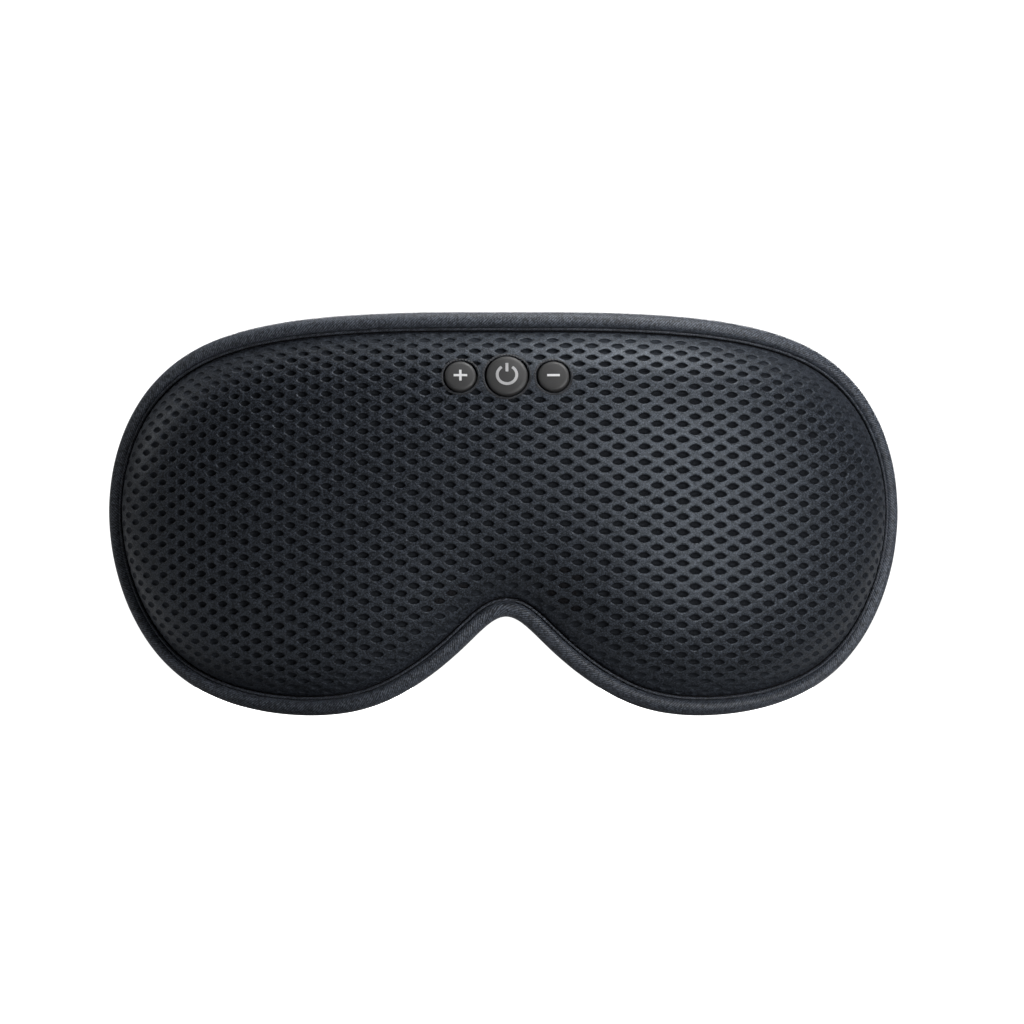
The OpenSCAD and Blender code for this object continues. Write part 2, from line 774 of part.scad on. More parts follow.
module strap_slider() {
  half = 8;
  inner_z = strap_w / 2 + 0.5;
  back_x = slider_bar_x - slider_bar_r;
  color([0.12, 0.12, 0.13]) at_ring(-1) translate([0, slider_at, 0]) {
    difference() {
      block([back_x, -half, -inner_z - 2.2], [2.2, half, inner_z + 2.2]);
      block([-20, -half + 2.5, -inner_z], [20, half - 2.5, inner_z]);
      block([-20, -half - 1, -inner_z], [0.9, half + 1, inner_z]);
    }
    translate([slider_bar_x, 0, 0])
      cylinder(r = slider_bar_r, h = 2 * inner_z + 2, center = true, $fn = 32);
  }
}

front_mesh();
front_foam();
edge_binding();
seam_piping();
carrier_plate();
back_foam();
back_lining();
left_eye_pad();
right_eye_pad();
left_strap_tab();
right_strap_tab();
left_strap_ring();
right_strap_ring();
strap_band();
strap_return();
strap_slider();
housing_front();
housing_base();
housing_screws();
plus_button();
power_button();
minus_button();
plus_symbol();
power_symbol();
minus_symbol();
plus_switch_stem();
power_switch_stem();
minus_switch_stem();
switch_bodies();
main_board();
board_components();
charge_port();
charge_port_tongue();
port_flap();
port_flap_hinge();
battery_cell();
battery_leads();
left_heater_film();
right_heater_film();
left_wiring();
right_wiring();
left_motor_holder();
left_motor_base();
left_motor_magnet();
left_motor_shaft();
left_motor_rotor();
left_motor_cover();
right_motor_holder();
right_motor_base();
right_motor_magnet();
right_motor_shaft();
right_motor_rotor();
right_motor_cover();
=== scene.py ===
"""Eye massager mask: the visible pieces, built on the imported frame.

Lengths are in millimetres until a mesh is made. A place on the mask is (u, z, w): u is
measured round the wrap from the middle, z is up, and w is out of the mask from the seam.
"""
import json
import math

import bmesh
import bpy
import numpy as np
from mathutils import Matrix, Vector


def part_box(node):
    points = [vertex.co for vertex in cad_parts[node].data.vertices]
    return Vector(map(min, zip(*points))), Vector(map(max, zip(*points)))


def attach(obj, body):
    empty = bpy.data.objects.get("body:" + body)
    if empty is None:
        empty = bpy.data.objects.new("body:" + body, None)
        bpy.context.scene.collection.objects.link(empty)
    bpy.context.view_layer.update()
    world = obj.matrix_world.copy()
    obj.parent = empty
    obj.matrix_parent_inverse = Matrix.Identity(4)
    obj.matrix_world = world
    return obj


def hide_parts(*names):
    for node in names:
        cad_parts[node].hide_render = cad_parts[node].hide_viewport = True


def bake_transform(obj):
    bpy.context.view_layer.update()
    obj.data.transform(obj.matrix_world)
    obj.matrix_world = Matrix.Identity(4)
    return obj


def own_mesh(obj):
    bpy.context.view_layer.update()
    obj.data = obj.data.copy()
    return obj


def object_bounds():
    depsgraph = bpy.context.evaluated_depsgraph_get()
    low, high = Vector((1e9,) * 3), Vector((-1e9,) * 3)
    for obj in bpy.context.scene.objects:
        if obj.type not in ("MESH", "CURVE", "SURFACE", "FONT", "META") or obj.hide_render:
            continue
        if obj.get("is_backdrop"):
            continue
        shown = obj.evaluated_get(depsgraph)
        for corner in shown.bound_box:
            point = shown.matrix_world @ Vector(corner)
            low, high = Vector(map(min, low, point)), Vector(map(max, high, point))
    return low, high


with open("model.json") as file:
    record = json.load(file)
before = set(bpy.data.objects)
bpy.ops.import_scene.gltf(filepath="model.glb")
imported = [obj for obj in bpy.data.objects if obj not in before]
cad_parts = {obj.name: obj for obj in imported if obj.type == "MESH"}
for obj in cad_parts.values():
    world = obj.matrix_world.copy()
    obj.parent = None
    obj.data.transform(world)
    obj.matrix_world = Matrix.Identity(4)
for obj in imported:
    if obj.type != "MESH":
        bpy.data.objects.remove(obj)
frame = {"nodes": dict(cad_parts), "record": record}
nodes = frame["nodes"]
cad_low, cad_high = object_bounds()

MM = 0.001
TAU = 2 * math.pi
rng = np.random.default_rng(7)

# ---- The mask's own measures, the same as the CAD part's ----
WRAP_R = 165.0
MASK_W = 220.0
MASK_H = 112.0
SEAM_W = 1.0
DOME_H = 14.0
DOME_FADE = 10.0
BINDING_W = 4.3
BINDING_T = 6.8
BINDING_MIDDLE = -1.2
SEAM_INSET = BINDING_W + 1.2
SPINE_Z = 4.0
BUTTON_Z = 38.5
BUTTON_TILT = math.radians(22)
BUTTON_PITCH = 12.9
BUTTONS = [("plus", -BUTTON_PITCH, 4.4), ("power", 0.0, 5.8), ("minus", BUTTON_PITCH, 4.4)]
LINING_IN = -6.2
PAD_U = 43.0
PAD_Z = -4.0
PAD_A = 37.0
PAD_B = 31.0
PAD_RING = 13.0
PAD_T = 8.5
STRAP_W = 28.0
STRAP_T = 1.2
STRAP_SLOPE = math.radians(15)
STRAIGHT_RUN = 50.0
RING_X = 94.0
RING_DEPTH = 56.0
SLIDER_AT = 34.0
BAR_GAP = 0.1

SEAM_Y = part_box("edge_binding")[0].y / MM + BINDING_MIDDLE + BINDING_T / 2

HALF_KNOTS = [
    (0, 56), (39, 56.5), (90, 51), (111, 21), (111.5, -17),
    (92.5, -51.5), (51.5, -58), (29.5, -51.5), (11, -37), (0, -24),
]
KNOT_SPAN = (221.5, 112.0)
EDGE_POINTS = 720
KNOT_STEPS = 60
CHUNK = 4000  # points handled at a time in the search for the nearest edge
SIDES = ((-1, "left"), (1, "right"))


def smooth_loop(knots, steps):
    """A closed cubic curve drawn by its control points."""
    k = np.array(knots, float)[:, None]
    before = np.roll(k, 1, 0)
    after = np.roll(k, -1, 0)
    later = np.roll(k, -2, 0)
    t = (np.arange(steps) / steps)[None, :, None]
    points = (
        (1 - t) ** 3 * before
        + (3 * t**3 - 6 * t**2 + 4) * k
        + (-3 * t**3 + 3 * t**2 + 3 * t + 1) * after
        + t**3 * later
    ) / 6
    return points.reshape(-1, 2)


def unroll(p):
    return np.stack([np.arcsin(p[:, 0] / WRAP_R) * WRAP_R, p[:, 1]], 1)


def run_along(points):
    """Distance from the start of a line to each of its points."""
    return np.concatenate([[0], np.cumsum(np.linalg.norm(np.diff(points, axis=0), axis=1))])


def even_loop(points, count):
    """The same closed line with evenly spaced points, and its length."""
    closed = np.vstack([points, points[:1]])
    run = run_along(closed)
    at = np.arange(count) / count * run[-1]
    even = np.stack([np.interp(at, run, closed[:, i]) for i in (0, 1)], 1)
    return even, run[-1]


def inward(loop):
    t = np.roll(loop, -1, 0) - np.roll(loop, 1, 0)
    return np.stack([t[:, 1], -t[:, 0]], 1) / np.linalg.norm(t, axis=1)[:, None]


def outline(half_knots):
    scale = np.array([MASK_W / KNOT_SPAN[0], MASK_H / KNOT_SPAN[1]])
    half = [np.array(p) * scale for p in half_knots]
    other = [p * (-1, 1) for p in half[-2:0:-1]]
    return even_loop(unroll(smooth_loop(half + other, KNOT_STEPS)), EDGE_POINTS)


def place(u, z, w):
    """Points of the object's own space, in millimetres."""
    a = u / WRAP_R
    return np.stack(
        [
            np.sin(a) * (WRAP_R + w),
            SEAM_Y + WRAP_R - np.cos(a) * (WRAP_R + w),
            z + 0 * w + 0 * u,
        ],
        -1,
    )


def smoothstep(a, b, x):
    t = np.clip((x - a) / (b - a), 0, 1)
    return t * t * (3 - 2 * t)


edge, edge_length = outline(HALF_KNOTS)
edge_in = inward(edge)
# The edge with the nose notch filled in: the knit's rows run straight past the notch.
plain_edge, _ = outline(HALF_KNOTS[:7] + [(0, -58)])
plain_in = inward(plain_edge)


def edge_distance(p, loop, normals):
    """How far points [u, z] lie inside a closed line, and the way in at the nearest point."""
    distance = np.empty(len(p))
    way = np.empty((len(p), 2))
    for start in range(0, len(p), CHUNK):
        q = p[start:start + CHUNK]
        near = ((q[:, None] - loop[None]) ** 2).sum(2).argmin(1)
        best = np.full(len(q), 1e9)
        foot = np.empty_like(q)
        for step in (-1, 0):
            a = loop[(near + step) % len(loop)]
            b = loop[(near + step + 1) % len(loop)]
            t = np.clip(((q - a) * (b - a)).sum(1) / ((b - a) ** 2).sum(1), 0, 1)
            at = a + (b - a) * t[:, None]
            gap = np.linalg.norm(q - at, axis=1)
            closer = gap < best
            best = np.where(closer, gap, best)
            foot = np.where(closer[:, None], at, foot)
        n = normals[near]
        sign = np.where(((q - foot) * n).sum(1) >= 0, 1, -1)
        distance[start:start + CHUNK] = best * sign
        way[start:start + CHUNK] = n
    return distance, way


# ---- Height of the padded front, on a grid ----
GRID = 1.0
GRID_HALF_U = 126
GRID_HALF_Z = 66
GRID_U = np.arange(-GRID_HALF_U, GRID_HALF_U + GRID, GRID)
GRID_Z = np.arange(-GRID_HALF_Z, GRID_HALF_Z + GRID, GRID)
grid_points = np.stack(np.meshgrid(GRID_U, GRID_Z, indexing="ij"), -1).reshape(-1, 2)
grid_shape = (len(GRID_U), len(GRID_Z))
DEEPEST = 46.67  # the longest way in from the seam
FULL_RISE = 1 - math.exp(-DEEPEST / DOME_FADE)
BLUR_RADIUS = 3
BLUR_TIMES = 3
# Between these depths the exact height near the seam gives way to the blurred one.
BLEND_DEPTH = (9, 20)


def rise(depth):
    """Height over the seam at a distance inside it; it carries on down outside it."""
    inside = DOME_H * (1 - np.exp(-np.maximum(depth, 0) / DOME_FADE)) / FULL_RISE
    return SEAM_W + inside + np.minimum(depth, 0) * DOME_H / DOME_FADE


def blurred(field):
    """The field with each value replaced by the mean round it, several times."""
    window = 2 * BLUR_RADIUS + 1
    for axis in (0, 1) * BLUR_TIMES:
        pad = [(BLUR_RADIUS, BLUR_RADIUS) if i == axis else (0, 0) for i in (0, 1)]
        wide = np.pad(field, pad, mode="edge")
        field = np.lib.stride_tricks.sliding_window_view(wide, window, axis).mean(-1)
    return field


def on_grid(field, u, z):
    """A grid field read between its points."""
    x = np.clip((u - GRID_U[0]) / GRID, 0, grid_shape[0] - 1.001)
    y = np.clip((z - GRID_Z[0]) / GRID, 0, grid_shape[1] - 1.001)
    i = x.astype(int)
    j = y.astype(int)
    fx = x - i
    fy = y - j
    return (
        field[i, j] * (1 - fx) * (1 - fy)
        + field[i + 1, j] * fx * (1 - fy)
        + field[i, j + 1] * (1 - fx) * fy
        + field[i + 1, j + 1] * fx * fy
    )


edge_gap = edge_distance(grid_points, edge, edge_in)[0].reshape(grid_shape)
soft_height = blurred(rise(edge_gap - SEAM_INSET))


def front_height(u, z):
    """Height of the front and distance inside the mesh's seam."""
    gap, way = edge_distance(np.stack([u, z], -1), edge, edge_in)
    depth = gap - SEAM_INSET
    inner = smoothstep(*BLEND_DEPTH, depth)
    return rise(depth) * (1 - inner) + on_grid(soft_height, u, z) * inner, depth, way


# ---- Knit coordinates: distances measured along the fabric ----
HOLE_PITCH = 7.17
ROW_PITCH = 2.145
ROW_SAG = 1.9
SIDE_SHARE = 0.38  # how far the dome's fall at the sides lengthens the fabric
SAG_HALF = 105

plain_gap = edge_distance(grid_points, plain_edge, plain_in)[0].reshape(grid_shape)
plain_height = rise(np.maximum(plain_gap - SEAM_INSET, 0))
slope_u, slope_z = np.gradient(plain_height, GRID)
side_only = smoothstep(45, 75, np.abs(GRID_U))[:, None]
# The holes crowd a little towards both ends, more on the right, and open up at the far left.
crowded = 1 + 0.07 * smoothstep(58, 86, -GRID_U) + 0.13 * smoothstep(68, 100, GRID_U)
crowded = crowded - 0.16 * smoothstep(88, 106, -GRID_U)
uneven = ((1 - 0.028 * np.tanh(GRID_U / 15)) * crowded)[:, None]
side_slope = slope_u * side_only * SIDE_SHARE
stretch_u = np.sqrt((1 + plain_height / WRAP_R) ** 2 + side_slope**2) * uneven
stretch_z = np.sqrt(1 + slope_z**2)


def running_sum(field, axis, origin):
    """Length added up along an axis of the grid, with zero at the origin index."""
    total = (np.cumsum(field, axis) - field / 2) * GRID
    return total - np.take(total, [origin], axis)


knit_u = running_sum(stretch_u, 0, int(round(-GRID_U[0] / GRID)))
knit_z = running_sum(stretch_z, 1, int(round((SPINE_Z - GRID_Z[0]) / GRID)))
knit_z = knit_z + ROW_SAG * (GRID_U[:, None] / SAG_HALF) ** 2


FIRST_GUESS = 1.084  # knit length over wrap length, about
SEARCH_STEPS = 24
SEARCH_SHARE = 0.75


def from_knit(p, q):
    """The place [u, z] of knit coordinates, found step by step."""
    u = p / FIRST_GUESS
    z = q + SPINE_Z
    for _ in range(SEARCH_STEPS):
        u = u + SEARCH_SHARE * (p - on_grid(knit_u, u, z))
        z = z + SEARCH_SHARE * (q - on_grid(knit_z, u, z))
        u = np.clip(u, GRID_U[0], GRID_U[-1])
        z = np.clip(z, GRID_Z[0], GRID_Z[-1])
    return u, z


# ---- Button row frame: x right, y into the mask, z up the tilted face ----
FACE_W = float(front_height(np.array([0.0]), np.array([BUTTON_Z]))[0][0])
FACE_STEPS = 10
FACE_SHARE = 0.7
face_cos = math.cos(BUTTON_TILT)
face_sin = math.sin(BUTTON_TILT)


def to_face(p):
    y = p[..., 1] - (SEAM_Y - FACE_W)
    z = p[..., 2] - BUTTON_Z
    return np.stack([p[..., 0], y * face_cos - z * face_sin, y * face_sin + z * face_cos], -1)


def from_face(p):
    y = p[..., 1] * face_cos + p[..., 2] * face_sin
    z = -p[..., 1] * face_sin + p[..., 2] * face_cos
    return np.stack([p[..., 0], SEAM_Y - FACE_W + y, BUTTON_Z + z], -1)


def place_on_front(x, z):
    """The place [u, z] whose front surface lies at x, z of the button row's frame."""
    u = np.array(x, float)
    v = BUTTON_Z + np.array(z, float) * face_cos
    for _ in range(FACE_STEPS):
        now = to_face(place(u, v, front_height(u, v)[0]))
        u = u + (x - now[..., 0])
        v = v + (z - now[..., 2]) * FACE_SHARE
    return u, v


# ---- Mesh helpers ----
def bulged(x, power):
    """A sine or cosine, fuller for a power below 1 and more pointed above it."""
    return np.sign(x) * np.abs(x) ** power


def oval_section(inset, w, half_wide, half_deep, sides, power=1.0):
    t = np.arange(sides) * TAU / sides
    return np.stack([
        inset + half_wide * bulged(np.cos(t), power),
        w + half_deep * bulged(np.sin(t), power),
    ], 1)


def add_mesh(name, points, faces, material, body, node=None, slot=None, uv=None,
             smooth=True, faint=None):
    """A piece from points in millimetres that stands for a CAD node, which it hides.

    uv and faint are values per point, and uv may also be one per face corner; faint lifts the
    painted shade in the knit's holes.
    """
    mesh = bpy.data.meshes.new(name)
    mesh.from_pydata((np.asarray(points) * MM).tolist(), [], faces)
    piece = bpy.data.objects.new(name, mesh)
    bpy.context.scene.collection.objects.link(piece)
    for m in material if isinstance(material, (list, tuple)) else [material]:
        mesh.materials.append(m)
    corner = np.empty(len(mesh.loops), int)
    mesh.loops.foreach_get("vertex_index", corner)
    if uv is not None:
        layer = mesh.uv_layers.new(name="fabric")
        values = np.asarray(uv, float)
        values = values[corner] if len(values) != len(corner) else values
        layer.data.foreach_set("uv", values.ravel())
    if faint is not None:
        layer = mesh.attributes.new("faint", "FLOAT", "POINT")
        layer.data.foreach_set("value", np.asarray(faint, np.float32))
    mesh.polygons.foreach_set("use_smooth", [smooth] * len(mesh.polygons))
    mesh.update()
    if body:
        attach(piece, body)
    if node:
        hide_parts(node)
    return piece


def grid_faces(rows, columns, close_rows=False, close_columns=False):
    """Quads over points stored row by row."""
    faces = []
    for r in range(rows if close_rows else rows - 1):
        for c in range(columns if close_columns else columns - 1):
            a = r * columns + c
            b = r * columns + (c + 1) % columns
            d = ((r + 1) % rows) * columns + c
            e = ((r + 1) % rows) * columns + (c + 1) % columns
            faces.append((a, b, e, d))
    return faces


def flip(faces):
    return [tuple(reversed(f)) for f in faces]


def shifted(faces, by):
    return [tuple(by + v for v in f) for f in faces]


def sweep(name, node, section, material, ripple=None):
    """A closed section of [inset, w] points carried round the edge."""
    n = len(edge)
    k = len(section)
    section = np.array(section, float)
    inset = np.repeat(section[None, :, 0], n, 0)
    depth = np.repeat(section[None, :, 1], n, 0)
    if ripple is not None:
        inset, depth = ripple(inset, depth)
    flat = edge[:, None] + edge_in[:, None] * inset[..., None]
    points = place(flat[..., 0], flat[..., 1], depth).reshape(-1, 3)
    along = np.arange(n + 1) / n * edge_length
    around = run_along(np.vstack([section, section[:1]]))
    faces = []
    uv = []
    for i in range(n):
        j = (i + 1) % n
        for m in range(k):
            o = (m + 1) % k
            faces.append((i * k + m, i * k + o, j * k + o, j * k + m))
            for a, b in ((i, m), (i, m + 1), (i + 1, m + 1), (i + 1, m)):
                uv.append((along[a], around[b]))
    return add_mesh(name, points, faces, material, "mask", node, "binding_lycra", uv=uv)


# ---- Materials ----
SHEEN_ROUGHNESS = 0.4


class Look:
    """A node material with short calls for the nodes it needs."""

    def __init__(self, name, roughness=0.6, specular=0.5, metallic=0.0, sheen=0.0):
        self.material = bpy.data.materials.new(name)
        self.material.use_nodes = True
        self.tree = self.material.node_tree
        self.base = self.tree.nodes["Principled BSDF"]
        self.set("Roughness", roughness)
        self.set("Specular IOR Level", specular)
        self.set("Metallic", metallic)
        self.set("Sheen Weight", sheen)
        self.set("Sheen Roughness", SHEEN_ROUGHNESS)

    def node(self, kind, settings=None, **inputs):
        made = self.tree.nodes.new("ShaderNode" + kind)
        for key, value in (settings or {}).items():
            setattr(made, key, value)
        for key, value in inputs.items():
            self.put(made.inputs[key.replace("_", " ")], value)
        return made

    def put(self, socket, value):
        if isinstance(value, bpy.types.NodeSocket):
            self.tree.links.new(value, socket)
        else:
            socket.default_value = value

    def set(self, name, value):
        self.put(self.base.inputs[name], value)

    def parts(self, kind, value):
        """The channels of a colour, or the coordinates of a vector."""
        made = self.node(kind)
        self.put(made.inputs[0], value)
        return made.outputs

    def coordinates(self, kind):
        """Fabric coordinates in millimetres from the mesh, or the object's own space."""
        if kind == "fabric":
            return self.node("UVMap", {"uv_map": "fabric"}).outputs[0]
        scaled = self.node("VectorMath", {"operation": "SCALE"})
        self.put(scaled.inputs[0], self.node("TexCoord").outputs["Object"])
        scaled.inputs["Scale"].default_value = 1 / MM
        return scaled.outputs[0]

    def stretched(self, vector, x, y, z=1.0, turn=0.0):
        return self.node("Mapping", Vector=vector, Scale=(x, y, z),
                         Rotation=(0, 0, turn)).outputs[0]

    def noise(self, vector, scale, detail=2.0, roughness=0.5):
        return self.node("TexNoise", Vector=vector, Scale=scale, Detail=detail,
                         Roughness=roughness).outputs[0]

    def cells(self, vector, scale, output="Distance", randomness=1.0):
        made = self.node("TexVoronoi", Vector=vector, Scale=scale, Randomness=randomness)
        return made.outputs[output]

    def math(self, operation, a, b=0.0):
        made = self.node("Math", {"operation": operation})
        self.put(made.inputs[0], a)
        self.put(made.inputs[1], b)
        return made.outputs[0]

    def times(self, a, b):
        return self.math("MULTIPLY", a, b)

    def wave(self, vector, axis, period):
        """A smooth wave from 0 to 1 along one axis of the coordinates."""
        turned = self.times(self.parts("SeparateXYZ", vector)[axis], TAU / period)
        return self.math("ADD", self.times(self.math("SINE", turned), 0.5), 0.5)

    def ramp(self, value, low, high, to_low=0.0, to_high=1.0):
        return self.node("MapRange", {"interpolation_type": "SMOOTHSTEP"}, Value=value,
                         From_Min=low, From_Max=high, To_Min=to_low, To_Max=to_high).outputs[0]

    def mix(self, share, a, b, blend="MIX"):
        made = self.node("Mix", {"data_type": "RGBA", "blend_type": blend})
        # A colour mix takes sockets 0, 6 and 7 and gives out socket 2.
        for socket, value in ((0, share), (6, a), (7, b)):
            self.put(made.inputs[socket], value)
        return made.outputs[2]

    def tint(self, colour, factor):
        """The base colour, made lighter or darker by a factor."""
        grey = self.node("CombineColor", Red=factor, Green=factor, Blue=factor)
        self.set("Base Color", self.mix(1.0, colour, grey.outputs[0], "MULTIPLY"))

    def bump(self, height, depth, strength):
        made = self.node("Bump", Height=height, Distance=depth * MM, Strength=strength)
        self.set("Normal", made.outputs[0])


def rgb(r, g, b):
    return (r, g, b, 1.0)


def knit_look():
    look = Look("front_knit", roughness=0.56, specular=0.56, sheen=0.03)
    look.set("Sheen Tint", rgb(0.75, 0.82, 1.0))
    look.set("Specular Tint", rgb(0.80, 0.89, 1.0))
    at = look.coordinates("fabric")
    fine = look.stretched(at, 2.9, 3.5, turn=0.35)
    stitch = look.cells(fine, 1.0, randomness=0.85)
    speck = look.parts("SeparateColor", look.cells(fine, 1.0, "Color", 0.85))
    patch = look.noise(at, 0.55, 3.0)
    lit = look.ramp(speck[0], 0.0, 1.0, 0.0, 2.5)
    between = look.ramp(stitch, 0.15, 0.75, 1.2, 0.45)
    factor = look.times(look.times(lit, between), look.ramp(patch, 0.3, 0.7, 0.93, 1.07))
    look.tint(rgb(0.0232, 0.0272, 0.0352), factor)
    look.set("Roughness", look.ramp(speck[1], 0.0, 1.0, 0.36, 0.56))
    look.bump(look.math("SUBTRACT", 1.0, stitch), 0.055, 0.75)
    return look.material


def pocket_shade_look():
    # The floor of each hole, coloured darker than the knit: painted shade for the hole's depth.
    look = Look("knit_pocket_painted_shade", roughness=0.82, specular=0.22)
    at = look.coordinates("fabric")
    weave = look.cells(look.stretched(at, 3.2, 3.2), 1.0, randomness=0.6)
    faint = look.node("Attribute", {"attribute_name": "faint"}).outputs["Fac"]
    # Painted shade of the holes: darkest where a hole is open, lifted towards the knit's colour as
    # faint rises near the seam.
    deep = look.mix(faint, rgb(0.013, 0.0155, 0.0205), rgb(0.025, 0.03, 0.039))
    look.tint(deep, look.ramp(weave, 0.1, 0.8, 1.4, 0.6))
    look.bump(weave, 0.06, 0.6)
    return look.material


def binding_look(name, base, sheen=0.35):
    look = Look(name, roughness=0.48, specular=0.5, sheen=sheen)
    look.set("Sheen Tint", rgb(0.8, 0.86, 1.0))
    at = look.coordinates("fabric")
    waver = look.noise(look.stretched(at, 0.6, 0.6), 1.0, 2.0)
    moved = look.node("VectorMath", {"operation": "ADD"})
    look.put(moved.inputs[0], at)
    look.put(moved.inputs[1], look.node("CombineXYZ", X=look.times(waver, 0.5)).outputs[0])
    rib = look.wave(look.stretched(moved.outputs[0], 1, 1, turn=0.8), 0, 0.6)
    grain = look.cells(look.stretched(at, 3.0, 1.7), 1.0, "Color", 1.0)
    speck = look.parts("SeparateColor", grain)
    factor = look.times(look.ramp(rib, 0.15, 0.85, 0.5, 1.45),
                        look.ramp(speck[0], 0.0, 1.0, 0.4, 1.7))
    look.tint(base, factor)
    look.bump(look.math("ADD", rib, look.times(speck[1], 0.6)), 0.08, 0.8)
    return look.material


def brushed_look(name, base, sheen=0.5, pile=1.0):
    """Soft brushed jersey: short pile over a fine knit."""
    look = Look(name, roughness=0.9, specular=0.2, sheen=sheen)
    at = look.coordinates("object")
    pile_noise = look.noise(look.stretched(at, 1.6, 1.6, 2.4), pile, 4.0, 0.7)
    patch = look.noise(at, 0.12, 2.0)
    cell = look.cells(at, 1.9 * pile, randomness=0.7)
    factor = look.times(look.ramp(pile_noise, 0.25, 0.75, 0.6, 1.45),
                        look.ramp(patch, 0.35, 0.65, 0.88, 1.12))
    look.tint(base, factor)
    look.bump(look.math("ADD", pile_noise, look.times(cell, 0.5)), 0.22, 0.7)
    return look.material


def webbing_look(name, base):
    """Woven elastic: warp ribs along the strap and a fine weft across it."""
    look = Look(name, roughness=0.75, specular=0.35, sheen=0.25)
    at = look.coordinates("fabric")
    weft = look.wave(at, 0, 0.9)
    warp = look.wave(at, 1, 1.0)
    weave = look.times(weft, warp)
    fuzz = look.noise(look.stretched(at, 2.2, 4.0), 1.0, 3.0, 0.6)
    factor = look.times(look.ramp(weave, 0.0, 1.0, 0.6, 1.35),
                        look.ramp(fuzz, 0.25, 0.75, 0.75, 1.3))
    look.tint(base, factor)
    look.bump(look.math("ADD", weave, look.times(fuzz, 0.35)), 0.16, 0.8)
    return look.material


def plastic_look(name, base, roughness=0.42, grain=3.0, depth=0.02, specular=0.5):
    """Moulded plastic: a fine spark-eroded grain, slightly uneven gloss."""
    look = Look(name, roughness=roughness, specular=specular)
    at = look.coordinates("object")
    fine = look.noise(at, grain, 3.0, 0.6)
    broad = look.noise(at, 0.15, 2.0)
    look.tint(base, look.ramp(broad, 0.3, 0.7, 0.9, 1.1))
    look.set("Roughness", look.ramp(fine, 0.3, 0.7, roughness - 0.06, roughness + 0.1))
    look.bump(fine, depth, 0.6)
    return look.material


def metal_look(name, base, roughness=0.3, brushed=6.0):
    look = Look(name, roughness=roughness, metallic=1.0)
    at = look.coordinates("object")
    lines = look.noise(look.stretched(at, brushed, 0.4, 0.4), 1.0, 3.0, 0.6)
    tarnish = look.noise(at, 0.4, 2.0)
    look.tint(base, look.ramp(tarnish, 0.3, 0.7, 0.85, 1.1))
    look.set("Roughness", look.ramp(lines, 0.3, 0.7, roughness - 0.08, roughness + 0.14))
    look.bump(lines, 0.01, 0.5)
    return look.material


def foam_look(name, base):
    look = Look(name, roughness=0.95, specular=0.15)
    at = look.coordinates("object")
    pores = look.cells(at, 1.6)
    look.tint(base, look.ramp(pores, 0.1, 0.7, 0.5, 1.3))
    look.bump(pores, 0.25, 0.8)
    return look.material


KNIT = knit_look()
POCKET = pocket_shade_look()
BINDING = binding_look("edge_binding_jersey", rgb(0.06, 0.069, 0.087), sheen=0.1)
PIPING = binding_look("seam_cord", rgb(0.048, 0.055, 0.07), sheen=0.1)
# Near-black and without sheen: painted shade for the gaps either side of the seam cord.
SEAM_GAP_SHADE = brushed_look("seam_gap_shade", rgb(0.008, 0.008, 0.01), sheen=0.0)
LINING = brushed_look("lining_jersey", rgb(0.05, 0.053, 0.06), sheen=0.35)
PAD = brushed_look("eye_pad_velour", rgb(0.045, 0.048, 0.056), sheen=0.6, pile=0.8)
WEBBING = webbing_look("strap_webbing", rgb(0.042, 0.045, 0.052))
THREAD = binding_look("sewing_thread", rgb(0.13, 0.135, 0.15), sheen=0.2)
CAP_PLASTIC = plastic_look("button_plastic", rgb(0.044, 0.044, 0.045), 0.45, 5.0, 0.02)
RUBBER = plastic_look("soft_rubber", rgb(0.014, 0.014, 0.016), 0.72, 4.0, 0.03, 0.3)
DIM_PRINT = plastic_look("sign_print_dim", rgb(0.5, 0.5, 0.51), 0.5, 6.0, 0.008)

SLOT_LOOKS = {
    "mesh_knit": KNIT,
    "binding_lycra": BINDING,
    "lining_fabric": LINING,
    "webbing": WEBBING,
    "button_plastic": CAP_PLASTIC,
    "flap_rubber": RUBBER,
    "foam": foam_look("soft_foam", rgb(0.012, 0.012, 0.014)),
    "stiffener": plastic_look("stiffener_sheet", rgb(0.06, 0.06, 0.065), 0.6, 0.8, 0.05),
    "black_plastic": plastic_look("black_plastic", rgb(0.018, 0.018, 0.02), 0.36),
    "sign_print": plastic_look("sign_print", rgb(0.8, 0.8, 0.81), 0.5, 6.0, 0.008),
    "switch_plastic": plastic_look("switch_plastic", rgb(0.03, 0.03, 0.03), 0.5),
    "board_green": plastic_look("circuit_board", rgb(0.01, 0.06, 0.035), 0.35, 2.0),
    "chip_black": plastic_look("chip_black", rgb(0.015, 0.015, 0.016), 0.55),
    "lead_red": plastic_look("lead_red", rgb(0.35, 0.02, 0.015), 0.5),
    "lead_blue": plastic_look("flat_lead", rgb(0.015, 0.02, 0.08), 0.45),
    "heater_amber": plastic_look("heater_film", rgb(0.42, 0.18, 0.03), 0.25, 0.6, 0.05),
    "steel": metal_look("steel", rgb(0.55, 0.56, 0.58)),
    "magnet_grey": metal_look("magnet", rgb(0.12, 0.12, 0.13), 0.5),
    "brass": metal_look("brass_weight", rgb(0.55, 0.42, 0.18), 0.32),
    "battery_foil": metal_look("battery_foil", rgb(0.6, 0.61, 0.63), 0.38, 0.7),
}
for part in frame["record"]["subparts"]:
    cad = nodes[part["node"]]
    cad.data.materials.clear()
    cad.data.materials.append(SLOT_LOOKS[part["material_slot"]])
nodes["power_symbol"].data.materials[0] = DIM_PRINT
SOFT_EDGE = 0.35
for name in ("left_strap_ring", "right_strap_ring", "strap_slider", "port_flap"):
    soften = nodes[name].modifiers.new("soft_edges", "BEVEL")
    soften.width = SOFT_EDGE * MM
    soften.segments = 3
    soften.limit_method = "ANGLE"
    soften.angle_limit = math.radians(40)

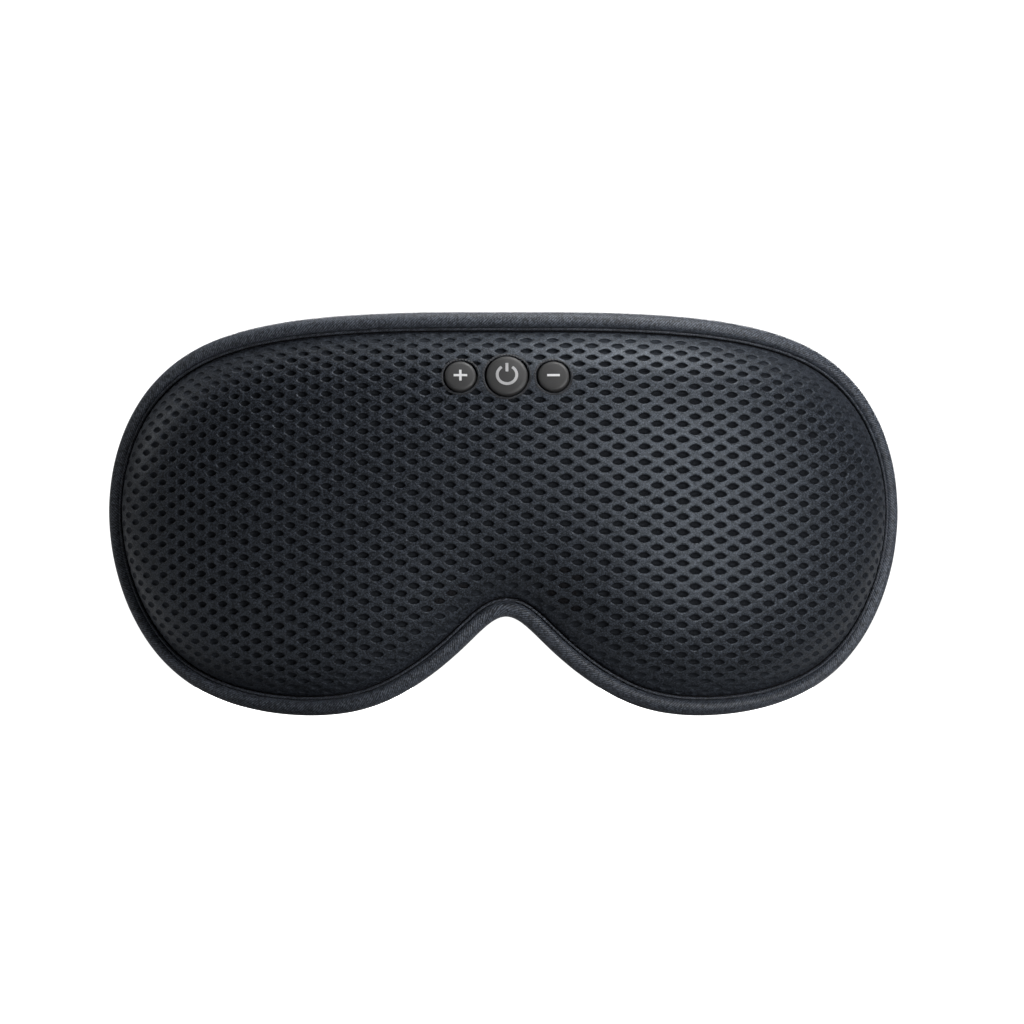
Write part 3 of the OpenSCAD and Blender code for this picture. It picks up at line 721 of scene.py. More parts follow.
# ---- Front mesh: one cell of knit round each hole ----
HOLE_A = 1.72
HOLE_B = 0.9
RING = 12
ROWS_AT = 16.85 - SPINE_Z
COLUMN_AT = -1.70
# Each ring of a cell: share of the way to the hole's edge (over 1: into the hole) and
# its height over the knit's own surface.
LAND_RINGS = [(0.0, 0.0), (0.5, 0.03), (0.86, -0.02), (1.0, -0.16)]
POCKET_RINGS = [(0.9, -1.0)]
RING_COUNT = len(LAND_RINGS) + len(POCKET_RINGS)
POCKET_SAG = 0.05
SEAM_TUCK = 0.7
HOLE_CLEAR = 0.45
HOLE_POINT = 1.5  # above 1 the hole's ends are pointed
HOLE_SPREAD = 0.025  # how unevenly the holes open
ROW_SPAN = 34
COLUMN_SPAN = 21
# Cells are made this far beyond the seam, within these half sizes.
BEYOND_SEAM = 3.4
CELL_HALF_U = 118
CELL_HALF_Z = 60
# Points that agree to this many parts of a millimetre, along and in height, are one point.
KNIT_PARTS = 200
LIFT_PARTS = 1000


def fade_reach(u):
    """The holes fade towards the seam, over a longer way at the sides and most on the left: they
    grow shallower and their painted shade is lifted.
    """
    return 1 + 1.6 * smoothstep(60, 98, np.abs(u)) + 1.8 * smoothstep(56, 100, -u)


def build_front():
    corner = np.array([(HOLE_PITCH / 2, 0), (0, ROW_PITCH), (-HOLE_PITCH / 2, 0), (0, -ROW_PITCH)])
    side = RING // 4
    diamond = np.array([
        corner[i] + (corner[(i + 1) % 4] - corner[i]) * k / side
        for i in range(4) for k in range(side)
    ])
    t = np.arange(RING) * TAU / RING
    lens = np.stack([HOLE_A * np.cos(t), HOLE_B * bulged(np.sin(t), HOLE_POINT)], 1)
    rows = np.arange(-ROW_SPAN, ROW_SPAN)
    columns = np.arange(-COLUMN_SPAN, COLUMN_SPAN + 1)
    centres = np.array([
        (COLUMN_AT + (i + 0.5 * (j % 2)) * HOLE_PITCH, ROWS_AT + j * ROW_PITCH)
        for j in rows for i in columns
    ])
    cu, cz = from_knit(centres[:, 0], centres[:, 1])
    depth = edge_distance(np.stack([cu, cz], 1), edge, edge_in)[0] - SEAM_INSET
    inside = (depth > -BEYOND_SEAM) & (np.abs(cu) < CELL_HALF_U) & (np.abs(cz) < CELL_HALF_Z)
    centres, cu, cz, depth = centres[inside], cu[inside], cz[inside], depth[inside]
    opening = 0.5 + 0.5 * smoothstep(-0.2, 2.0, depth)
    sink = 0.15 + 0.85 * smoothstep(-0.4, 6.5, depth / fade_reach(cu))
    at_face = to_face(place(cu, cz, front_height(cu, cz)[0]))
    for _, bx, r in BUTTONS:
        away = np.hypot(at_face[:, 0] - bx, at_face[:, 2]) - (r + HOLE_CLEAR)
        sink = sink * (0.25 + 0.75 * smoothstep(-0.6, 1.4, away))
        opening = opening * (0.8 + 0.2 * smoothstep(-0.3, 1.6, away))
    count = len(centres)
    jitter = 1 + rng.normal(0, HOLE_SPREAD, (count, 1, 1))
    hole = lens[None] * opening[:, None, None] * jitter
    layers = [diamond[None] * (1 - share) + hole * share for share, _ in LAND_RINGS]
    layers += [hole * share for share, _ in POCKET_RINGS]
    layers.append(hole.mean(1, keepdims=True))
    sink = sink[:, None]
    level = np.ones((count, RING))
    heights = [level * lift * (sink if share == 1 else 1) for share, lift in LAND_RINGS]
    heights += [level * lift * sink for _, lift in POCKET_RINGS]
    heights.append((POCKET_RINGS[-1][1] - POCKET_SAG) * sink)
    knit = np.concatenate([layer + centres[:, None] for layer in layers], 1).reshape(-1, 2)
    lift = np.concatenate(heights, 1).reshape(-1)
    # One cell's faces: rings from the outside in, then a fan round the pocket's middle.
    centre = RING * RING_COUNT
    last = centre - RING
    cell = grid_faces(RING_COUNT, RING, close_columns=True)
    cell += [(last + k, last + (k + 1) % RING, centre) for k in range(RING)]
    first_in_pocket = (len(LAND_RINGS) - 1) * RING
    # Neighbouring cells share their outer rings.
    key = np.round(knit * KNIT_PARTS).astype(np.int64)
    key = np.concatenate([key, np.round(lift * LIFT_PARTS).astype(np.int64)[:, None]], 1)
    _, first, same = np.unique(key, axis=0, return_index=True, return_inverse=True)
    knit = knit[first]
    lift = lift[first]
    same = same.ravel()
    u, z = from_knit(knit[:, 0], knit[:, 1])
    height, depth, way = front_height(u, z)
    beyond = depth < 0
    u = np.where(beyond, u - way[:, 0] * depth, u)
    z = np.where(beyond, z - way[:, 1] * depth, z)
    height = np.where(beyond, SEAM_W + np.maximum(depth, -SEAM_TUCK), height)
    # The knit stops at the rim of each button's hole.
    at_face = to_face(place(u, z, height))
    hidden = depth < -SEAM_TUCK
    for _, bx, r in BUTTONS:
        dx = at_face[:, 0] - bx
        away = np.hypot(dx, at_face[:, 2])
        rim = r + HOLE_CLEAR
        under = away < rim
        hidden |= under
        if under.any():
            scale = rim / np.maximum(away[under], 0.05)
            nu, nz = place_on_front(bx + dx[under] * scale, at_face[under, 2] * scale)
            u[under] = nu
            z[under] = nz
            height[under] = front_height(nu, nz)[0]
            lift[under] = 0
    points = place(u, z, height + lift)
    kept = []
    pocket = []
    for c in range(count):
        for number, face in enumerate(shifted(cell, c * (centre + 1))):
            shared = list(dict.fromkeys(int(same[v]) for v in face))
            if len(shared) < 3 or all(hidden[v] for v in shared):
                continue
            kept.append(tuple(reversed(shared)))
            pocket.append(int(number >= first_in_pocket))
    # How much the holes' painted shade is lifted: fully at the seam, less and less further in.
    faint = 1 - smoothstep(0.5, 9.0, depth / fade_reach(u))
    piece = add_mesh("knit_front", points, kept, [KNIT, POCKET], "mask", "front_mesh",
                     "mesh_knit", uv=knit, faint=faint)
    piece.data.polygons.foreach_set("material_index", pocket)
    piece.data.update()
    mesh = bmesh.new()
    mesh.from_mesh(piece.data)
    loose = [v for v in mesh.verts if not v.link_faces]
    bmesh.ops.delete(mesh, geom=loose, context="VERTS")
    bmesh.ops.dissolve_degenerate(mesh, dist=1e-6, edges=mesh.edges)
    mesh.to_mesh(piece.data)
    mesh.free()


build_front()

# ---- Turned edge of the knit round each button ----
# How far outside the hole's edge, and how high over the knit.
RIM_PROFILE = [(0.62, 0.0), (0.5, 0.07), (0.25, 0.1), (0.05, 0.02), (-0.03, -0.3), (-0.03, -2.2)]
ROUND_STEPS = 72


def build_rims():
    points = []
    faces = []
    uv = []
    steps = ROUND_STEPS
    for _, bx, r in BUTTONS:
        t = np.arange(steps) * TAU / steps
        base = len(points)
        for out, lift in RIM_PROFILE:
            radius = r + HOLE_CLEAR + out
            u, z = place_on_front(bx + radius * np.cos(t), radius * np.sin(t))
            height = front_height(u, z)[0]
            points.extend(place(u, z, height + lift).tolist())
            uv.extend(np.stack([radius * t, np.full(steps, out * 2)], 1).tolist())
        faces += shifted(grid_faces(len(RIM_PROFILE), steps, close_columns=True), base)
    rim = binding_look("knit_turned_edge", rgb(0.02, 0.022, 0.027), sheen=0.05)
    add_mesh("button_rims", points, faces, rim, "mask", slot="mesh_knit", uv=uv)


build_rims()

# ---- Edge binding, cord and the near-black strip under them, painted shade in the seam's gaps ----
BINDING_LEAN = 0.14
BINDING_SIDES = 32
BINDING_POWER = 0.9  # below 1 the section is fuller than an oval
SWELL_WAVES = range(5, 60, 3)
SWELL_SPLIT = 18
SWELL_WIDE = 0.02
SWELL_DEEP = 0.08
CORD_GAP = 0.45
CORD_W = 1.05
CORD_HALF_WIDE = 0.36
CORD_HALF_DEEP = 0.5
CORD_SIDES = 12
SEAM_GAP_SECTION = [(3.6, 0.2), (6.4, 0.5), (6.4, -0.1), (3.6, -0.4)]


def leaning(section):
    """The same section with its front shifted towards the seam."""
    out = section.copy()
    out[:, 0] += BINDING_LEAN * np.maximum(section[:, 1] - BINDING_MIDDLE, 0)
    return out


def puckered(inset, depth):
    """Slow, uneven swelling of the padded binding."""
    along = np.arange(len(edge)) / len(edge) * TAU
    swell = sum(
        rng.normal(0, 1) * np.sin(along * k + rng.uniform(0, TAU)) for k in SWELL_WAVES
    )
    swell = (swell / SWELL_SPLIT)[:, None]
    middle = inset.mean(1, keepdims=True)
    return inset + (inset - middle) * swell * SWELL_WIDE, depth + swell * SWELL_DEEP


binding_section = oval_section(BINDING_W / 2, BINDING_MIDDLE, BINDING_W / 2, BINDING_T / 2,
                               BINDING_SIDES, BINDING_POWER)
sweep("binding_tube", "edge_binding", leaning(binding_section), BINDING, puckered)
cord_section = oval_section(BINDING_W + CORD_GAP, CORD_W, CORD_HALF_WIDE, CORD_HALF_DEEP,
                            CORD_SIDES)
sweep("seam_cord", "seam_piping", cord_section, PIPING)
# The strip under the binding and cord shows only in their gaps, as painted shade in the seam
# lines.
sweep("seam_gap_shade", None, SEAM_GAP_SECTION, SEAM_GAP_SHADE)

# ---- Back lining: a padded sheet turned in under the binding ----
LINING_RINGS = [(3.3, -1.6), (3.7, -3.0), (4.1, -4.1), (4.6, -4.9), (5.3, -5.5),
                (6.3, -5.9), (7.6, -6.1), (9.2, -6.18)]
PORT_DEPTH = 18.4
PORT_LOW = -4.1
PORT_HIGH = 8.1
PORT_HALF = 6.8
PORT_MARGIN = 12.0
LINING_SHARES = [0.84, 0.76, 0.68, 0.6, 0.52, 0.44, 0.36, 0.28, 0.2, 0.12]
LINING_T = 0.9
SPINE_REACH = 80
INNER_W = -6  # only the lining's inner rings dip
PAD_DIP = 0.5
PAD_DIP_WIDE = 0.05


def build_lining():
    """Rings from under the binding inwards, closed along a spine and cut out for the port."""
    n = len(edge)
    rings = [edge + edge_in * inset for inset, _ in LINING_RINGS]
    depths = [w for _, w in LINING_RINGS] + [LINING_IN] * len(LINING_SHARES)
    start = rings[-1]
    spine = np.stack([
        start[:, 0] / np.sqrt(1 + (start[:, 0] / SPINE_REACH) ** 2),
        np.full(n, SPINE_Z),
    ], 1)
    rings += [spine + (start - spine) * share for share in LINING_SHARES]
    flat = np.concatenate(rings)
    w = np.repeat(depths, n)
    # The lining dips a little into the foam along the eye pads' seams.
    near_pad = np.minimum(
        *[np.abs(np.hypot((flat[:, 0] - s * PAD_U) / PAD_A, (flat[:, 1] - PAD_Z) / PAD_B) - 1)
          for s in (-1, 1)]
    )
    w = w + PAD_DIP * np.exp(-((near_pad / PAD_DIP_WIDE) ** 2)) * (w < INNER_W)
    faces = grid_faces(len(rings), n, close_columns=True)
    last = (len(rings) - 1) * n
    half = n // 2
    for i in range(half // 2):
        for base in (0, half):
            a = last + base + i
            b = last + base + i + 1
            c = last + (base + half - i - 1) % n
            d = last + (base + half - i) % n
            faces.append((a, b, c, d) if b != c else (a, b, d))
    piece = add_mesh("back_lining_sheet", place(flat[:, 0], flat[:, 1], w), faces, LINING, "mask",
                     "back_lining", "lining_fabric")
    cut = bmesh.new()
    cut.from_mesh(piece.data)
    low_z = from_face(np.array([0.0, PORT_DEPTH, PORT_LOW]))[2]
    high_z = from_face(np.array([0.0, PORT_DEPTH, PORT_HIGH]))[2]
    x0, x1, z0, z1 = (v * MM for v in (-PORT_HALF, PORT_HALF, low_z, high_z))

    def in_box(face, grow):
        c = face.calc_center_median()
        return x0 - grow < c.x < x1 + grow and z0 - grow < c.z < z1 + grow

    for at, way in (((x0, 0, 0), (1, 0, 0)), ((x1, 0, 0), (1, 0, 0)),
                    ((0, 0, z0), (0, 0, 1)), ((0, 0, z1), (0, 0, 1))):
        faces_near = [f for f in cut.faces if in_box(f, PORT_MARGIN * MM)]
        parts = set(faces_near)
        for f in faces_near:
            parts.update(f.edges)
            parts.update(f.verts)
        bmesh.ops.bisect_plane(cut, geom=list(parts), plane_co=at, plane_no=way)
    bmesh.ops.delete(cut, geom=[f for f in cut.faces if in_box(f, 0)], context="FACES")
    bmesh.ops.recalc_face_normals(cut, faces=cut.faces)
    cut.to_mesh(piece.data)
    cut.free()
    thick = piece.modifiers.new("thickness", "SOLIDIFY")
    thick.thickness = LINING_T * MM
    thick.offset = -1


build_lining()

# ---- Eye pads: filled rings, blown up by cloth simulation in flat space, then wrapped ----
PAD_OUT = LINING_IN - 0.05
PAD_CAP = 1.6  # the most that the pressure may move a point
PAD_ROUND = 96
PAD_SIDES = 28
PAD_SQUARE = 0.7  # below 1 the unfilled ring's section is fuller than an oval
PAD_SLACK = 0.9
VOXEL = 2.0
CLOTH_FRAMES = 20


def flat_pad():
    """One pad before it is filled: [u, z, -w] points round a squashed ring."""
    section = oval_section(-PAD_RING / 2, PAD_T / 2 - PAD_OUT, PAD_RING / 2 - PAD_SLACK,
                           PAD_T / 2 - PAD_SLACK, PAD_SIDES, PAD_SQUARE)
    points = [
        ((PAD_A + out) * math.cos(a), (PAD_B + out) * math.sin(a), up)
        for a in np.arange(PAD_ROUND) * TAU / PAD_ROUND for out, up in section
    ]
    return points, grid_faces(PAD_ROUND, PAD_SIDES, True, True)


def mesh_points(mesh):
    """A mesh's points in millimetres."""
    flat = np.empty(len(mesh.vertices) * 3)
    mesh.vertices.foreach_get("co", flat)
    return flat.reshape(-1, 3) / MM


def filled_pad():
    """Points and faces of the pad after the cloth has been blown up by pressure."""
    pad = add_mesh("pad_work", *flat_pad(), PAD, None)
    scene = bpy.context.scene
    bpy.context.view_layer.objects.active = pad
    remesh = pad.modifiers.new("remesh", "REMESH")
    remesh.mode = "VOXEL"
    remesh.voxel_size = VOXEL * MM
    bpy.ops.object.select_all(action="DESELECT")
    pad.select_set(True)
    bpy.ops.object.modifier_apply(modifier=remesh.name)
    rest = mesh_points(pad.data)
    moved = rest
    cloth = pad.modifiers.new("cloth", "CLOTH")
    settings = cloth.settings
    settings.use_pressure = True
    settings.uniform_pressure_force = 4.0
    settings.effector_weights.gravity = 0
    settings.quality = 5
    settings.tension_stiffness = 12
    settings.compression_stiffness = 12
    settings.bending_stiffness = 0.2
    for number in range(CLOTH_FRAMES):
        scene.frame_set(1 + number)
    done = pad.evaluated_get(bpy.context.evaluated_depsgraph_get())
    moved = mesh_points(done.data)
    pad.modifiers.remove(cloth)
    scene.frame_set(1)
    step = moved - rest
    far = np.linalg.norm(step, axis=1, keepdims=True)
    step = step * np.minimum(1, PAD_CAP / np.maximum(far, 1e-6))
    pad.data.vertices.foreach_set("co", ((rest + step) * MM).ravel())
    smooth = pad.modifiers.new("smooth", "SMOOTH")
    smooth.factor = 0.5
    smooth.iterations = 3
    finer = pad.modifiers.new("finer", "SUBSURF")
    finer.levels = 1
    for modifier in (smooth, finer):
        bpy.ops.object.modifier_apply(modifier=modifier.name)
    points = mesh_points(pad.data)
    faces = [tuple(p.vertices) for p in pad.data.polygons]
    bpy.data.objects.remove(pad)
    return points, faces


def pad_details(flat):
    """Sewn channel, puckers and the flat side that rests on the lining."""
    angle = np.arctan2(flat[:, 1] / PAD_B, flat[:, 0] / PAD_A)
    reach = np.hypot(flat[:, 0] / (PAD_A - PAD_RING / 2), flat[:, 1] / (PAD_B - PAD_RING / 2))
    across = (reach - 1) * (PAD_A + PAD_B - PAD_RING) / 2
    height = flat[:, 2] + PAD_OUT
    round_way = flat[:, :2] / np.linalg.norm(flat[:, :2], axis=1, keepdims=True)
    pleat = np.sin(angle * 46) + 0.6 * np.sin(angle * 71 + 1.3) + 0.4 * np.sin(angle * 29)
    side = smoothstep(2.5, 6.5, np.abs(across)) * smoothstep(7.5, 2.0, height)
    out = flat.copy()
    push = pleat * 0.16 * side * np.sign(across)
    out[:, :2] += round_way * push[:, None]
    top = smoothstep(4.0, 6.5, height)
    out[:, 2] -= 1.5 * np.exp(-((across / 1.1) ** 2)) * top
    out[:, 2] -= 0.05 * pleat * np.exp(-((across / 3.0) ** 2)) * top
    out[:, 2] = np.maximum(out[:, 2], -PAD_OUT + 0.02)
    return out


pad_points, pad_faces = filled_pad()
pad_points = pad_details(pad_points)
for side, label in SIDES:
    u = side * (pad_points[:, 0] + PAD_U)
    wrapped = place(u, pad_points[:, 1] + PAD_Z, -pad_points[:, 2])
    add_mesh(label + "_filled_pad", wrapped, pad_faces if side < 0 else flip(pad_faces),
             PAD, "mask", label + "_eye_pad", "lining_fabric")

# ---- Stitches ----
STITCH_SIDES = 6
STITCH_PARTS = 5
# Length, spacing and half thickness of a row's stitches.
PAD_STITCH = (2.0, 2.9, 0.22)
HEM_STITCH = (2.2, 3.1, 0.2)
STRAP_STITCH = (1.7, 2.4, 0.24)
HEM_INSET = 6.4
HEM_W = -5.93


def stitch_row(name, path, up, length, spacing, thick, body="mask"):
    """A row of sewn stitches: short rounded threads along a line of points."""
    path = np.asarray(path, float)
    up = np.asarray(up, float)
    run = run_along(path)
    points = []
    faces = []
    uv = []

    def at(values, s):
        return np.array([np.interp(s, run, values[:, i]) for i in range(3)])

    for s in np.arange(spacing / 2, run[-1] - length, spacing):
        base = len(points)
        for p in range(STITCH_PARTS):
            f = p / (STITCH_PARTS - 1)
            here = at(path, s + f * length)
            ahead = at(path, min(s + f * length + 0.1, run[-1])) - at(path, s + f * length - 0.1)
            ahead = ahead / max(np.linalg.norm(ahead), 1e-9)
            n = at(up, s)
            n = n - ahead * n.dot(ahead)
            n = n / np.linalg.norm(n)
            b = np.cross(ahead, n)
            lift = thick * (1.1 * math.sin(math.pi * f) - 0.3)
            r = thick * (0.35 + 0.65 * math.sin(math.pi * (0.12 + 0.76 * f)))
            for k in range(STITCH_SIDES):
                a = TAU * k / STITCH_SIDES
                points.append(here + n * (lift + r * math.sin(a)) + b * r * math.cos(a))
                uv.append((s + f * length, a))
        stitch = grid_faces(STITCH_PARTS, STITCH_SIDES, close_columns=True)
        end = range(STITCH_SIDES)
        stitch += [tuple(end), tuple((STITCH_PARTS - 1) * STITCH_SIDES + k for k in reversed(end))]
        faces += shifted(stitch, base)
    add_mesh(name, points, faces, THREAD, body, slot="lining_fabric", uv=uv)


PAD_LINE_STEPS = 240


def lining_line(u, z, w):
    """A line of points on the lining, and the way out of the lining at each."""
    path = place(u, z, np.full(len(u), w))
    return path, place(u, z, np.full(len(u), w - 1.0)) - path


def pad_line(side, a, b, w):
    t = np.arange(PAD_LINE_STEPS + 1) * TAU / PAD_LINE_STEPS
    return lining_line(side * PAD_U + a * np.cos(t), PAD_Z + b * np.sin(t), w)


for side, label in SIDES:
    for name, grow in (("_pad_stitches", 0.9), ("_pad_inner_stitches", -PAD_RING - 1.2)):
        line, out = pad_line(side, PAD_A + grow, PAD_B + grow, LINING_IN - 0.02)
        stitch_row(label + name, line, out, *PAD_STITCH)

hem_u, hem_z = (edge + edge_in * HEM_INSET).T
hem, hem_out = lining_line(hem_u, hem_z, HEM_W)
stitch_row("lining_stitches", hem, hem_out, *HEM_STITCH)

# ---- Strap: webbing carried along a path in plan ----
BAR_R = 1.0
LOOP_R = BAR_R + BAR_GAP + STRAP_T / 2
BAR_X = -LOOP_R
TAB_BAR_Y = -9.0
straight_x = RING_X - STRAIGHT_RUN * math.sin(STRAP_SLOPE)
straight_y = RING_DEPTH + STRAIGHT_RUN * math.cos(STRAP_SLOPE)
HEAD_R = straight_x / math.cos(STRAP_SLOPE)
HEAD_DEPTH = straight_y - HEAD_R * math.sin(STRAP_SLOPE)


def off_ring(side, p):
    """A plan point [x, y] of a ring's own frame, y back along the strap and x outwards."""
    c = math.cos(STRAP_SLOPE)
    s = math.sin(STRAP_SLOPE)
    return (side * (RING_X + p[0] * c - p[1] * s), SEAM_Y + RING_DEPTH + p[0] * s + p[1] * c)


def turn(centre, radius, start, end, step=10):
    angles = np.linspace(start, end, max(int(abs(end - start) / step) + 1, 2))
    return [(centre[0] + radius * math.cos(math.radians(a)),
             centre[1] + radius * math.sin(math.radians(a))) for a in angles]


def rounded_path(points, spacing):
    """A smooth line through plan points, evenly spaced."""
    p = np.array(points, float)
    run = run_along(p)
    count = int(run[-1] / spacing) + 1
    at = np.linspace(0, run[-1], count)
    out = np.stack([np.interp(at, run, p[:, i]) for i in (0, 1)], 1)
    for _ in range(2):
        out[1:-1] = (out[:-2] + 2 * out[1:-1] + out[2:]) / 4
    return out


RIBS = 28
RIB_POINTS = 4
RIB_H = 0.09


def webbing(name, node, path, body, thick=STRAP_T):
    """Elastic webbing standing on edge: ribbed faces, a plain selvage and rounded edges."""
    ahead = np.gradient(path, axis=0)
    ahead = ahead / np.linalg.norm(ahead, axis=1, keepdims=True)
    out = np.stack([-ahead[:, 1], ahead[:, 0]], 1)
    run = run_along(path)
    columns = RIB_POINTS * RIBS
    z = np.linspace(-0.5, 0.5, columns + 1) * (STRAP_W - 0.5)
    selvage = smoothstep(STRAP_W / 2 - 1.2, STRAP_W / 2 - 2.2, np.abs(z))
    rib = RIB_H * np.cos(np.arange(columns + 1) * TAU / RIB_POINTS) * selvage
    half = thick / 2 - 0.12 - 0.06 * (1 - selvage)
    lip = STRAP_W / 2 - 0.02
    face_z = np.concatenate([z, [lip], z[::-1], [-lip]])
    face_t = np.concatenate([half + rib, [0], -(half + rib)[::-1], [0]])
    across = np.concatenate([z, [STRAP_W / 2 + 0.5], STRAP_W + 1 - z[::-1],
                             [1.5 * STRAP_W + 1.5]])
    k = len(face_z)
    points = np.empty((len(path), k, 3))
    points[..., :2] = path[:, None] + out[:, None] * face_t[None, :, None]
    points[..., 2] = face_z[None]
    faces = flip(grid_faces(len(path), k, close_columns=True))
    end = [(c, c + 1, k - 3 - c, k - 2 - c) for c in range(columns)]
    faces += flip(end) + shifted(end, (len(path) - 1) * k)
    uv = np.stack([np.repeat(run, k), np.tile(across, len(path))], 1)
    return add_mesh(name, points.reshape(-1, 3), faces, WEBBING, body, node, "webbing", uv=uv)


SEWN_X = -STRAP_T - 0.05
PATH_STEP = 0.8
right_end = [(SEWN_X, 20), (SEWN_X, 14), (SEWN_X, 8), (BAR_X - LOOP_R, 1.5)]
right_end += turn((BAR_X, 0), LOOP_R, 180, 360)
left_end = turn((BAR_X, 0), LOOP_R, 360, 180)
band_path = [off_ring(1, p) for p in right_end] + [off_ring(1, (0, STRAIGHT_RUN / 2))]
slope_deg = math.degrees(STRAP_SLOPE)
band_path += turn((0, SEAM_Y + HEAD_DEPTH), HEAD_R, slope_deg, 180 - slope_deg, 2)
band_path += [off_ring(-1, (0, STRAIGHT_RUN / 2))] + [off_ring(-1, p) for p in left_end]
webbing("strap_band_webbing", "strap_band", rounded_path(band_path, PATH_STEP), "strap")

RETURN_X = -STRAP_T / 2 - 0.35
SLIDER_BAR_R = 0.9
SLIDER_BAR_X = RETURN_X - STRAP_T - SLIDER_BAR_R - BAR_GAP
BAR_TURN = SLIDER_BAR_R + BAR_GAP + STRAP_T / 2
return_path = [(BAR_X - LOOP_R, 0.05), (BAR_X - LOOP_R, 1.5), (RETURN_X - STRAP_T / 2, 9),
               (RETURN_X - STRAP_T / 2, SLIDER_AT / 2)]
return_path += turn((SLIDER_BAR_X, SLIDER_AT), BAR_TURN, 0, 180)
return_path += [(SLIDER_BAR_X - BAR_TURN, SLIDER_AT - 5)]
doubled = webbing("strap_return_webbing", "strap_return",
                  rounded_path([off_ring(-1, p) for p in return_path], PATH_STEP), "strap")
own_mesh(doubled)

STRAP_ROWS = (17.6, 15.2, 9.8)
STRAP_ROW_STEPS = 60
STITCH_SINK = 0.06


def strap_stitches(name, y, x, face):
    """A sewn row across the strap's right end, on the face given by its sign."""
    z = np.linspace(-STRAP_W / 2 + 2, STRAP_W / 2 - 2, STRAP_ROW_STEPS)
    here = off_ring(1, (x, y))
    ahead = off_ring(1, (x + face, y))
    path = np.stack([here[0] + 0 * z, here[1] + 0 * z, z], 1)
    up = np.tile([ahead[0] - here[0], ahead[1] - here[1], 0], (len(z), 1))
    stitch_row(name, path, up, *STRAP_STITCH, "strap")


for i, y in enumerate(STRAP_ROWS):
    strap_stitches(f"strap_end_stitches_{i}", y, STRAP_T / 2 - STITCH_SINK, 1)
    strap_stitches(f"strap_end_stitches_in_{i}", y, SEWN_X - STRAP_T / 2 + STITCH_SINK, -1)

# ---- Tabs that hold the rings ----
TAB_T = 1.1
TAB_STEP = 0.7
TAB_LIES = (100.5, 103, 105.5)
TAB_END = 110.6
TAB_LEAVES = 108.0


def in_plan(side, u, w):
    """The plan point [x, y] of a place at the height of the strap."""
    p = place(np.array(u), np.array(0.0), np.array(w))
    return side * p[0], p[1]


def tab_path(side):
    """Plan path: along the lining, up to the ring's bar, round it and down again."""
    lie = LINING_IN - 0.1 - TAB_T / 2
    near = TAB_T / 2 + 0.02
    bend = [(BAR_X - near, TAB_BAR_Y - 5.2), (BAR_X - near, TAB_BAR_Y - 3.2)]
    bend += turn((BAR_X, TAB_BAR_Y), BAR_R + BAR_GAP + TAB_T / 2, 200, -20)
    bend += [(BAR_X + near, TAB_BAR_Y - 3.2), (BAR_X + near, TAB_BAR_Y - 6.4)]
    path = [in_plan(side, u, lie) for u in TAB_LIES]
    path += [off_ring(side, p) for p in bend]
    return path + [in_plan(side, TAB_END, lie - 0.3)]


for side, label in SIDES:
    tab = webbing(label + "_tab_webbing", label + "_strap_tab",
                  rounded_path(tab_path(side), TAB_STEP), None, TAB_T)
    low = in_plan(side, TAB_LEAVES, LINING_IN)
    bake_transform(tab)

# ---- Buttons ----
CROWN_R = 36.0
CAP_Y = -0.8
BEZEL_Y = 5.2
BEZEL_HALF_Z = 2.2
CROWN_STEPS = 14
# How far inside the cap's radius, and how far behind its face.
CAP_RIM = [(0.62, 0.05), (0.5, 0.07), (0.34, 0.12), (0.2, 0.24), (0.09, 0.44), (0.02, 0.75),
           (0.0, 1.1)]


def cap_profile(r, top):
    """[radius, depth] points from the middle of the domed face to the back."""
    crown = [(p, top + p * p / (2 * CROWN_R)) for p in np.linspace(0.0, r - 0.72, CROWN_STEPS)]
    y = crown[-1][1]
    rim = [(r - inset, y + fall) for inset, fall in CAP_RIM]
    body = [(r, 3.0), (r, BEZEL_Y + 0.05), (r + 0.9, BEZEL_Y + 0.1), (r + 0.9, BEZEL_Y + 0.7),
            (1.2, BEZEL_Y + 0.7), (1.1, BEZEL_Y + 0.88), (0.0, BEZEL_Y + 0.9)]
    return crown + rim + body


def build_cap(label, x, r):
    top = CAP_Y + x * x / (2 * (WRAP_R + FACE_W))
    profile = cap_profile(r, top)
    steps = ROUND_STEPS
    points = [(x, profile[0][1], 0.0)]
    for radius, y in profile[1:-1]:
        for k in range(steps):
            a = TAU * k / steps
            cz = radius * math.sin(a)
            if radius > r + 0.5:
                cz = max(-BEZEL_HALF_Z, min(BEZEL_HALF_Z, cz))
            points.append((x + radius * math.cos(a), y, cz))
    points.append((x, profile[-1][1], 0.0))
    rows = len(profile) - 2
    faces = flip(shifted(grid_faces(rows, steps, close_columns=True), 1))
    last = 1 + (rows - 1) * steps
    for k in range(steps):
        m = (k + 1) % steps
        faces.append((0, 1 + k, 1 + m))
        faces.append((len(points) - 1, last + m, last + k))
    add_mesh(label + "_cap", from_face(np.array(points)), faces, CAP_PLASTIC,
             label + "_key", label + "_button", "button_plastic")


for label, x, r in BUTTONS:
    build_cap(label, x, r)

# ---- Flap hinge: a soft strip between the housing and the flap, thinner along one line ----
HINGE_Y = 20.05
FLAP_TOP = 4.3
ANCHOR_Z = 7.6
HINGE_HALF = 3.4
HINGE_ROWS = 14
HINGE_COLUMNS = 9


